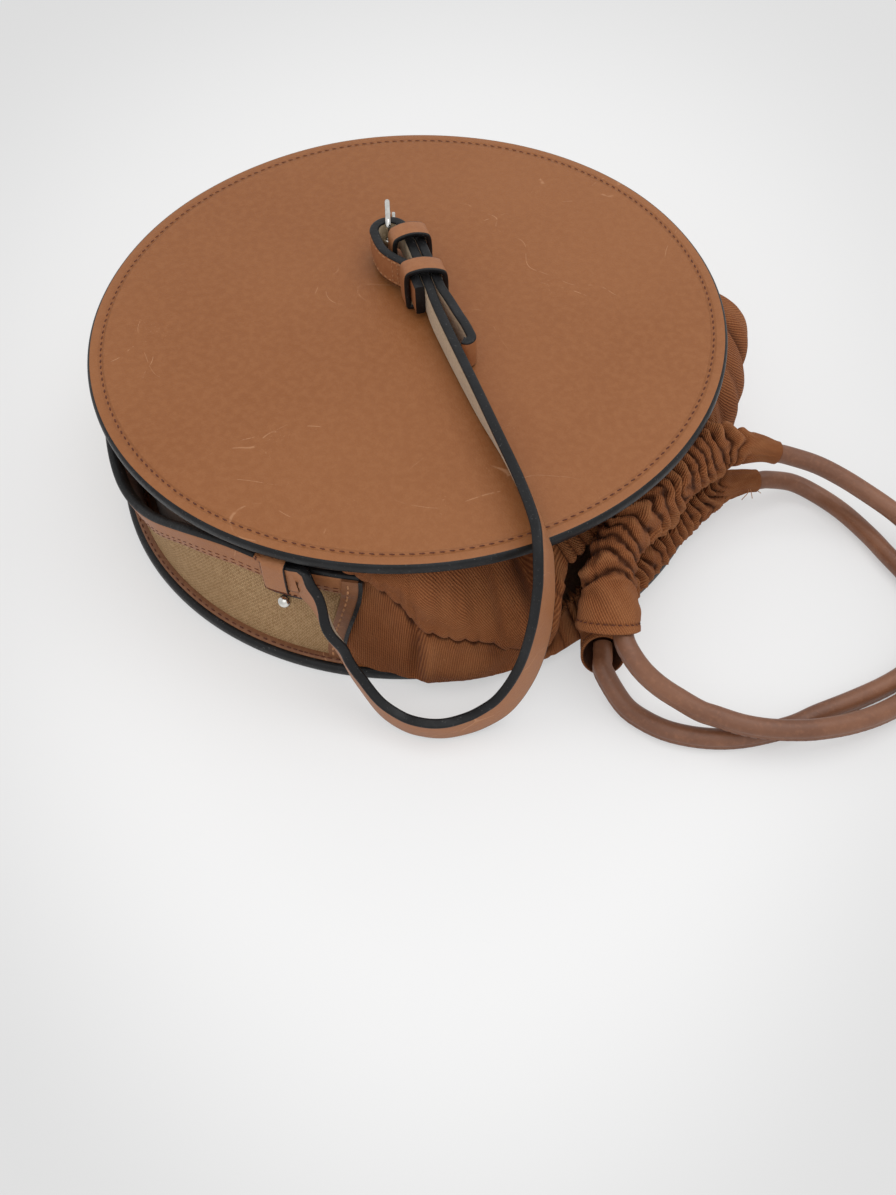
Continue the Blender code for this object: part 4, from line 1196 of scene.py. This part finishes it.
def makeHandle(side, fitting, loopShares):
    floorLevel = handle["radius"] + handle["gap"]
    loop = []
    for reachShare, spreadShare, dropShare, *stackShare in loopShares:
        height = between(floorLevel, fitting["hingeZ"], dropShare)
        height += sum(stackShare) * (2 * handle["radius"] + handle["gap"])
        x = fitting["hingeX"] + handle["reach"] * reachShare
        loop.append(Vector((x, handle["middle"] + handle["halfSpread"] * spreadShare, height)))
    inner = channelRoute(fitting)
    nearInner = [loop[0].lerp(inner[1], 0.75), loop[0].lerp(inner[1], 0.35)]
    farInner = [loop[-1].lerp(inner[-2], 0.35), loop[-1].lerp(inner[-2], 0.75)]
    path = smoothPath(nearInner + loop + farInner, handle["steps"])
    spots = stations(path)
    outline = []
    for step in range(handle["sides"] + 1):
        turn = 2 * math.pi * step / handle["sides"]
        away = math.remainder(turn - handle["seam"], 2 * math.pi)
        size = handle["radius"] - 0.0001 + handle["lip"] * math.exp(-((away / 0.26) ** 2))
        size -= handle["dip"] * math.exp(-(((away - 0.45) / 0.14) ** 2))
        outline.append((size * math.cos(turn), size * math.sin(turn)))
    bm = sweep(spots, outline, size=(handle["around"], lengthOf(path)), edged=False)
    replaced = (f"handle_{side}_cover", f"handle_{side}_core", f"handle_{side}_inner")
    piece = addPiece(f"{side}Handle", bm, [handleLeather], None, replaced, "handle_leather", 70)
    beads, seam = [], handle["seam"] + handle["stitchTurn"]
    for (here, right, up), (after, _, _) in zip(spots[4:-4:4], spots[5:-3:4]):
        out = right * math.cos(seam) + up * math.sin(seam)
        beads.append((here + out * (handle["radius"] + 0.00020), after - here, out))
    size = handle["stitchSize"]
    thread = stitches(f"{side}HandleStitches", beads, size, threadDark, None, "handle_leather")
    return piece, thread


for side, loopShares in (("front", frontLoopShares), ("back", backLoopShares)):
    fitting = mouthFittings[side]
    channelSpots = makeChannel(side, fitting)
    for piece in makeHandle(side, fitting, loopShares):
        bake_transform(piece)
looseThreads(channelSpots[-1][0], (channelSpots[-1][0] - channelSpots[-9][0]).normalized())
print("channels and handles made")


# Shoulder strap, standing on its edge, from its bridge to the fold round its buckle
strap = {
    "width": 0.0125,
    "thick": 0.0036,
    "corner": 0.0008,
    "onFloor": 0.00655,
    "onDisc": 0.07345,
    "atBuckle": 0.07605,
    "bridgeAngle": math.radians(-71.9),
    "startRadius": 0.1200,
    "startHeight": 0.05405,
    "foldReach": 0.0351,
    "foldOffset": 0.0033,
    "foldRadius": 0.0059,
    "barPull": 0.0014,
    "returnLength": 0.0373,
    "layerGap": 0.0003,
    "around": 0.0322,
    "stitchReach": 0.0136,  # no stitch stands proud where the sliding keeper slides
    "stitchPitch": 0.0032,
    "stitchUp": 0.0047,
    "stitchSize": (0.0021, 0.0007, 0.0005),
    "rowPlaces": (-34, -30),
    "rowPitch": 0.0021,
    "rowStitch": (0.0015, 0.0006, 0.0005),
}
mainOffset = strap["foldOffset"] + strap["foldRadius"]
wideOffset = strap["foldOffset"] - strap["foldRadius"]
seatedOffset = mainOffset - strap["thick"] - strap["layerGap"]
tipOffset = mainOffset + strap["thick"] + strap["layerGap"]
along = polar(1.0, math.radians(145.0))
rightwards = polar(1.0, math.radians(55.0))


def onDisc(reach, offset, height):
    return along * reach + rightwards * offset + Vector((0, 0, height))


# Strap route: shares of the disc's radius, of the climb, and its lean to the right
floorLoopShares = (
    (0.412, -0.922, 0.664, 0.00), (0.443, -0.926, 0.585, 0.12), (0.480, -0.932, 0.465, 0.26),
    (0.515, -0.925, 0.310, 0.22), (0.576, -0.930, 0.171, 0.19), (0.658, -0.935, 0.057, 0.20),
    (0.729, -0.924, 0.007, 0.22), (0.787, -0.905, 0.007, 0.25), (0.833, -0.874, 0.005, 0.23),
    (0.870, -0.833, 0.010, 0.18), (0.906, -0.784, 0.035, 0.12), (0.941, -0.728, 0.107, 0.07),
    (0.964, -0.674, 0.253, 0.04), (0.973, -0.630, 0.436, -0.01), (0.968, -0.593, 0.649, -0.08),
    (0.948, -0.558, 0.848, -0.18), (0.913, -0.521, 0.984, -0.32), (0.864, -0.477, 1.019, -0.32),
    (0.753, -0.392, 1.007, -0.29), (0.617, -0.302, 1.008, -0.27), (0.427, -0.185, 1.002, -0.08),
)
returnShares = (
    (0.16, 0.00), (0.30, 0.10), (0.42, 0.36), (0.525, 0.70), (0.605, 0.93), (0.66, 1.00), (0.86, 1.00),
    (1.00, 1.00),
)


def strapStations():
    points = []
    for share in (-0.35, 0.0, 0.8, 1.2):
        angle = strap["bridgeAngle"] + share * 0.0079 / strap["startRadius"]
        points.append(Vector((*polar(strap["startRadius"], angle, strap["startHeight"]), 0.0)))
    for x, y, climb, lean in floorLoopShares:
        height = between(strap["onFloor"], strap["onDisc"], climb)
        radius = panel["radius"]
        points.append(Vector((radius * x, radius * y, height, lean * strap["width"])))
    for reachShare, liftShare in ((-0.44, 0.5), (0.0, 1.0), (0.5, 1.0), (0.9, 1.0)):
        height = between(strap["onDisc"], strap["atBuckle"], liftShare)
        points.append(Vector((*onDisc(strap["foldReach"] * reachShare, mainOffset, height), 0.0)))
    leaning = smoothPath(points, 360)[:-1]
    path = [point.to_3d() for point in leaning]
    leans = [point.w / strap["width"] for point in leaning]
    for index in range(27):
        turn = math.pi * index / 26
        reach = strap["foldReach"] + strap["foldRadius"] * math.sin(turn)
        offset = strap["foldOffset"] + strap["foldRadius"] * math.cos(turn)
        path.append(onDisc(reach, offset, strap["atBuckle"]))
    back = [onDisc(strap["foldReach"], wideOffset, strap["atBuckle"])]
    for reachShare, seatShare in returnShares:
        reach = strap["foldReach"] - strap["returnLength"] * reachShare
        back.append(onDisc(reach, between(wideOffset, seatedOffset, seatShare), strap["atBuckle"]))
    path += smoothPath(back, 61)[1:]
    leans += [0.0] * (len(path) - len(leans))
    return path, stations(path, leans)


def carve(piece, cutter):
    # cuts a slot and keeps the result as plain mesh
    mesh = bpy.data.meshes.new("cutter")
    cutter.to_mesh(mesh)
    cutter.free()
    tool = bpy.data.objects.new("cutter", mesh)
    scene.collection.objects.link(tool)
    step = piece.modifiers.new("slot", "BOOLEAN")
    step.operation = "DIFFERENCE"
    step.object = tool
    bpy.context.view_layer.update()
    cut = bpy.data.meshes.new_from_object(piece.evaluated_get(bpy.context.evaluated_depsgraph_get()))
    piece.modifiers.clear()
    piece.data = cut
    bpy.data.objects.remove(tool)


def strapLength(name, path, spots, paints, nodes):
    bar = roundedBar(strap["thick"] / 2, strap["width"] / 2, strap["corner"])
    bm = sweep(spots, bar, size=(strap["around"], lengthOf(path)))
    return addPiece(name, bm, paints, "bag", nodes, sharp=60)


strapPath, strapSpots = strapStations()
strapPaints = [trimLeather, blackEdge, suede]
strapPiece = strapLength("strap", strapPath, strapSpots, strapPaints, ("strap_leather", "strap_suede"))
foldEnd = strap["foldRadius"] + strap["thick"]
slot = {"start": -strap["foldRadius"] * 0.4, "end": foldEnd, "left": -0.0013, "height": 0.0036}
cutter = bmesh.new()
bmesh.ops.create_cube(cutter, size=1.0)
for vert in cutter.verts:
    reach = strap["foldReach"] + between(slot["start"], slot["end"], vert.co.x + 0.5)
    offset = strap["foldOffset"] + between(slot["left"], slot["end"], vert.co.y + 0.5)
    vert.co = onDisc(reach, offset, strap["atBuckle"] + slot["height"] * vert.co.z)
bmesh.ops.recalc_face_normals(cutter, faces=cutter.faces)
for face in cutter.faces:
    face.material_index = 1
carve(strapPiece, cutter)

# Stitches on the fold's return layer: two rows along it and two short ones across
returnSpots = [spot for spot in strapSpots[-72:] if spot[0].dot(along) > strap["stitchReach"]]
for name, up in (("returnStitchesHigh", strap["stitchUp"]), ("returnStitchesLow", -strap["stitchUp"])):
    beads = []
    for (here, right, upWay), (after, _, _) in zip(returnSpots, returnSpots[1:]):
        beads.append((here + upWay * up + right * (strap["thick"] / 2), after - here, right))
    step = round(strap["stitchPitch"] / (returnSpots[1][0] - returnSpots[0][0]).length)
    stitches(name, beads[::step], strap["stitchSize"], threadTan)
rows = []
for place in strap["rowPlaces"]:
    here, right, up = strapSpots[place]
    for step in range(-2, 3):
        rows.append((here + right * strap["thick"] / 2 + up * step * strap["rowPitch"], up, right))
stitches("returnRows", rows, strap["rowStitch"], threadTan)

tipCurlShares = (
    (0.110, 0.05), (0.300, 0.37), (0.500, 0.68), (0.690, 0.92), (0.854, 1.00), (0.926, 1.00),
    (0.977, 0.82), (1.000, 0.42), (0.974, 0.06),
)
tip = {"start": -0.0016, "held": 0.0064, "overlap": 0.0310, "free": 0.0309, "swing": 0.0038}
held, overlap = tip["held"], tip["overlap"]
points = [onDisc(held + overlap * share, tipOffset, strap["atBuckle"]) for share in (0.8, 0.4)]
points.append(onDisc(tip["start"], tipOffset, strap["atBuckle"]))
for run, swing in tipCurlShares:
    height = between(strap["atBuckle"], strap["onDisc"], ease(run * 1.6))
    points.append(onDisc(tip["start"] - tip["free"] * run, tipOffset + tip["swing"] * swing, height))
tipPath = smoothPath(points, 140)
strapLength("strapTip", tipPath, stations(tipPath), strapPaints[::-1], ("strap_tip",))
print("strap made")


# Keepers, buckle and prong
keeperSet = {
    "thick": 0.0020,
    "width": 0.0080,
    "low": 0.0695,
    "high": 0.0826,
    "right": 0.0152,
    "dome": 0.0016,
    "skew": 0.0026,
}


def keeper(name, reach, left, skew, body, node):
    wallThick = keeperSet["thick"] / 2
    low, high = keeperSet["low"] - wallThick, keeperSet["high"] + wallThick
    leftSide, rightSide = left - wallThick, keeperSet["right"] + wallThick
    middle, dome = (leftSide + rightSide) / 2, keeperSet["dome"]
    corners = [
        (leftSide, low + 0.0006), (leftSide - 0.0003, (low + high) / 2), (leftSide, high - 0.0014),
        (leftSide + 0.0016, high + dome * 0.35), (middle, high + dome),
        (rightSide - 0.0016, high + dome * 0.35), (rightSide, high - 0.0014),
        (rightSide + 0.0003, (low + high) / 2), (rightSide, low + 0.0006), (rightSide - 0.0006, low),
        (middle, low), (leftSide + 0.0006, low), (leftSide, low + 0.0006),
    ]
    turned = []
    for offset, height in corners:
        skewed = skew * (0.5 - (offset - leftSide) / (rightSide - leftSide))
        turned.append(onDisc(reach + skewed, offset, height))
    path = smoothPath(turned, 97)
    centre = onDisc(reach, middle, (low + high) / 2)
    spots = []
    for index, point in enumerate(path):
        way = path[(index + 1) % 96] - path[(index - 1) % 96]
        right = way.cross(along).normalized()
        if right.dot(point - centre) < 0:
            right = -right
        spots.append((point, right, along))
    bar = roundedBar(wallThick, keeperSet["width"] / 2, 0.0006)
    bm = sweep(spots, bar, looped=True, size=(0.02, lengthOf(path)))
    addPiece(name, bm, strapPaints, body, (node,), sharp=60)


keeper("fixedKeeper", 0.0282, 0.0041, 0.0006, "bag", "keeper_fixed")
keeper("slidingKeeper", 0.0064, 0.0032, keeperSet["skew"], "keeper_sliding_body", "keeper_sliding")

buckle = {
    "length": 0.0150,
    "swing": math.radians(13.0),
    "wire": 0.00112,
    "half": 0.00755,
    "corner": 0.0022,
    "prong": 0.0008,
    "eye": 0.001806,
    "prongGap": 0.0002,
}


def onFrame(reach, side, height):
    cos, sin = math.cos(buckle["swing"]), math.sin(buckle["swing"])
    bar = strap["foldReach"] + strap["barPull"]
    offset = strap["foldOffset"] + reach * sin + side * cos
    return onDisc(bar + reach * cos - side * sin, offset, strap["atBuckle"] + height)


def wireFrame():
    spots, corner, length = [], buckle["corner"], buckle["length"]
    for reach, side, start in ((0.0, -1, 2), (length, -1, 3), (length, 1, 0), (0.0, 1, 1)):
        middle = reach + (corner if reach == 0.0 else -corner)
        for index in range(9):
            turn = math.pi / 2 * (start + index / 8)
            height = side * (buckle["half"] - corner) + corner * math.sin(turn)
            spots.append(onFrame(middle + corner * math.cos(turn), 0.0, height))
    spots.append(spots[0].copy())
    return spots


def prongRoute():
    # the eye round the bar, then the tongue to the frame's far wire and past it
    spots = []
    for index in range(25):
        turn = math.radians(310 * index / 24 - 270)
        spots.append(onFrame(buckle["eye"] * math.cos(turn), buckle["eye"] * math.sin(turn), 0))
    side = buckle["wire"] + buckle["prong"] + buckle["prongGap"]
    return spots + [onFrame(buckle["length"] * share, side, 0) for share in (0.30, 0.60, 0.93, 1.08)]


def metalWire(name, spots, radius, sides, node, looped=False):
    bm = sweep(spots, circle(radius, sides), looped=looped, edged=False)
    addPiece(name, bm, [metal], f"{node}_body", (node,), "bright_metal", 80)


flat = onFrame(0, 1, 0) - onFrame(0, 0, 0)
metalWire("buckleFrame", tubeStations(wireFrame(), flat, True), buckle["wire"], 14, "buckle_frame", True)
prongSpots = tubeStations(smoothPath(prongRoute(), 90), Vector((0, 0, 1)))
metalWire("bucklePin", prongSpots, buckle["prong"], 12, "buckle_prong")
print("buckle made")


# Bridges over the strap's ends, and ball studs
bridgeSet = {
    "width": 0.0118,
    "shift": 0.0011,
    "thick": 0.0012,
    "base": 0.1186,
    "low": 0.0453,
    "high": 0.0614,
    "round": 0.0060,
    "closed": 0.0040,
    "inset": 0.0013,
    "turnRadius": 0.1205,
    "stitchSize": (0.0018, 0.0008, 0.0006),
}
tabSet = {
    "low": 0.0404,
    "high": 0.0466,
    "radius": 0.1187,
    "thick": 0.0009,
    "start": -0.0050,
    "end": 0.0098,
}
bridgeProfile = (
    (0.1186, 0.0453), (0.1186, 0.0462), (0.1192, 0.0468), (0.1214, 0.0470), (0.1226, 0.0477),
    (0.1229, 0.0535), (0.1227, 0.0595), (0.1217, 0.0610), (0.1190, 0.0614), (0.1140, 0.0614),
    (0.1128, 0.0606), (0.1127, 0.0530),
)


def bridge(name, angle, node, hand):
    spots = smoothPath([Vector((radius, 0, height)) for radius, height in bridgeProfile], 90)

    def surface(across, up):
        # across runs from the closed, rounded end to the open one
        spot = spots[round(up * 89)]
        fromEnd = across * bridgeSet["width"]
        corner = max(0.0, 1 - fromEnd / bridgeSet["round"])
        low = bridgeSet["low"] + bridgeSet["round"] * (1 - math.sqrt(1 - corner * corner)) * 0.8
        share = (spot.z - bridgeSet["low"]) / (bridgeSet["high"] - bridgeSet["low"])
        height = between(low, bridgeSet["high"], share) if up < 0.8 else spot.z
        raised = ease(fromEnd / bridgeSet["closed"]) if spot.x > bridgeSet["base"] else 1.0
        radius = bridgeSet["base"] + (spot.x - bridgeSet["base"]) * raised
        if spot.z > 0.0600:
            radius = between(radius, spot.x, ease((spot.z - 0.0600) / 0.0012))
        run = hand * ((across - 0.5) * bridgeSet["width"] - bridgeSet["shift"])
        return polar(radius, angle + run / bridgeSet["turnRadius"], height)

    def pick(across, up):
        border = bridgeSet["round"] * 0.08 / bridgeSet["width"]
        return 1 if across < border or across > 1 - border or up < 0.015 else 0

    bm = wrap((36, 89), surface, (0.0145, 0.030), pick=pick, thickness=bridgeSet["thick"])
    addPiece(name, bm, [trimLeather, blackEdge], "bag", (node,))
    inset = bridgeSet["inset"] / bridgeSet["width"]
    route = [surface(inset, between(0.62, 0.16, index / 6)) for index in range(6)]
    route += [surface(between(inset * 1.4, 0.94, index / 7), 0.135) for index in range(8)]
    beads = []
    for index, here in enumerate(route):
        before, after = route[max(index - 1, 0)], route[min(index + 1, len(route) - 1)]
        out = Vector((here.x, here.y, 0)).normalized()
        beads.append((here + out * 0.0002, after - before, out))

    def tab(across, up):
        # the base strip that is sewn to the wall below the tunnel
        run = between(tabSet["start"], tabSet["end"], across)
        corner = max(0.0, 1 - min(across, 1 - across) * 8)
        half = (tabSet["high"] - tabSet["low"]) / 2 * math.sqrt(max(1 - corner * corner, 0.05))
        middle = (tabSet["high"] + tabSet["low"]) / 2
        return polar(tabSet["radius"], angle + hand * run / tabSet["radius"], middle + half * (2 * up - 1))

    def tabPick(across, up):
        return 1 if min(across, 1 - across) < 0.04 or up < 0.12 else 0

    base = wrap((30, 8), tab, (0.0145, 0.004), pick=tabPick, thickness=tabSet["thick"])
    addPiece(f"{name}Tab", base, [trimLeather, blackEdge], "bag")
    for index in range(5):
        here, after = tab(0.20 + 0.16 * index, 0.22), tab(0.22 + 0.16 * index, 0.22)
        out = polar(1, math.atan2(here.y, here.x))
        beads.append((here + out * 0.0001, after - here, out))
    stitches(f"{name}Stitches", beads, bridgeSet["stitchSize"], threadDark)


studSet = {
    "angle": math.radians(-71.5),
    "radius": 0.1164,
    "height": 0.0380,
    "ball": 0.0024,
    "ballCentre": 0.0031,
    "steps": 28,
}
studFoot = [(0.0, 0.0), (0.0016, 0.0), (0.0016, 0.0002), (0.0014, 0.0004), (0.0012, 0.0005), (0.0011, 0.0010)]


def stud(name, angle, node):
    profile = list(studFoot)
    for step in range(1, 14):
        turn = math.radians(-60 + 150 * step / 14)
        height = studSet["ballCentre"] + studSet["ball"] * math.sin(turn)
        profile.append((studSet["ball"] * math.cos(turn), height))
    profile.append((0.0, studSet["ballCentre"] + studSet["ball"]))
    bm = lathe(profile, studSet["steps"])
    turnTo = Matrix.Rotation(angle, 4, "Z") @ Matrix.Rotation(math.pi / 2, 4, "Y")
    turnTo = Matrix.Translation(polar(studSet["radius"], angle, studSet["height"])) @ turnTo
    bmesh.ops.transform(bm, matrix=turnTo, verts=bm.verts)
    addPiece(name, bm, [metal], "bag", (node,), "bright_metal", 60)


for side, hand in (("near", 1), ("far", -1)):
    bridge(f"{side}Bridge", hand * strap["bridgeAngle"], f"strap_bridge_{side}", hand)
    stud(f"{side}Stud", hand * studSet["angle"], f"stud_{side}")
for node in ("stud_screw_near", "stud_screw_far"):
    screw = bpy.data.objects.get(node)
    if screw:
        screw.data.materials.clear()
        screw.data.materials.append(metal)
print("bridges and studs made")


# Floor, light and camera
# the floor is painted brighter round the bag and darker towards its corners: a painted pool of light
floorLook = {
    "middle": tone(244, 244, 244),
    "corner": tone(223, 223, 223),
    "centre": (0.080, -0.080),
    "ahead": 0.50,
    "behind": 0.22,
    "across": 0.20,
    "widening": 0.30,
    "shadeShare": 0.5,
}
paint = Paint("floor", 0.95, Specular_IOR_Level=0.0)
x, y, _ = paint.spot().parts()
x, y = x - floorLook["centre"][0], y - floorLook["centre"][1]
deep = y * 0.755 - x * 0.656
aside = x * 0.755 + y * 0.656
lengthwise = deep.maths("MAXIMUM", deep / floorLook["ahead"], deep / -floorLook["behind"])
sideways = aside / (deep * floorLook["widening"] + floorLook["across"])
far = (lengthwise * lengthwise + sideways * sideways) ** 0.5
backdrop = paint.mix(far.above(0.5, 1.2), floorLook["middle"], floorLook["corner"])
rays = [paint.add("ShaderNodeLightPath", {}, {}, out) for out in (0, 3, 6)]  # camera, glossy, transmission
seen = (rays[0] + rays[1] + rays[2]).above(0.0, 0.5)
paint.give("Base Color", paint.mix(seen * floorLook["shadeShare"], backdrop, tone(0, 0, 0)))
paint.give("Emission Color", paint.mix(seen * floorLook["shadeShare"], tone(0, 0, 0), backdrop))
paint.give("Emission Strength", 1.0)
bm = bmesh.new()
bmesh.ops.create_grid(bm, x_segments=1, y_segments=1, size=3.0)
mesh = bpy.data.meshes.new("floor")
bm.to_mesh(mesh)
bm.free()
floor = bpy.data.objects.new("floor", mesh)
mesh.materials.append(paint.material)
scene.collection.objects.link(floor)

world = bpy.data.worlds.new("studio")
world.use_nodes = True
world.node_tree.nodes["Background"].inputs["Color"].default_value = (1, 1, 1, 1)
world.node_tree.nodes["Background"].inputs["Strength"].default_value = 0.74
scene.world = world


def lamp(name, where, size, power):
    data = bpy.data.lights.new(name, "AREA")
    data.size = size
    data.energy = power
    light = bpy.data.objects.new(name, data)
    light.location = where
    light.rotation_euler = (Vector((0.02, 0, 0)) - Vector(where)).to_track_quat("-Z", "Y").to_euler()
    scene.collection.objects.link(light)


lamp("key", (0.25, 0.35, 1.3), 1.0, 5.0)
lamp("fill", (0.5, -0.7, 1.1), 1.2, 2.6)

cameraSet = {"place": (0.2602, -0.2826, 0.397), "pitch": 52.87, "roll": -2.61, "azimuth": 41, "lens": 39.16}
camera = bpy.data.objects.new("camera", bpy.data.cameras.new("camera"))
pitch, roll, azimuth = (math.radians(cameraSet[turn]) for turn in ("pitch", "roll", "azimuth"))
forward = Vector((0, math.cos(pitch), -math.sin(pitch)))
up = Vector((0, math.sin(pitch), math.cos(pitch)))
right = Vector((math.cos(roll), 0, 0)) + up * math.sin(roll)
upright = Vector((-math.sin(roll), 0, 0)) + up * math.cos(roll)
turn = Matrix.Rotation(azimuth, 3, "Z")
view = Matrix((turn @ right, turn @ upright, turn @ -forward)).transposed().to_4x4()
camera.matrix_world = Matrix.Translation(cameraSet["place"]) @ view
camera.data.sensor_width = 36
camera.data.lens = cameraSet["lens"]
camera.data.clip_start = 0.01
scene.collection.objects.link(camera)
bpy.context.scene.camera = camera
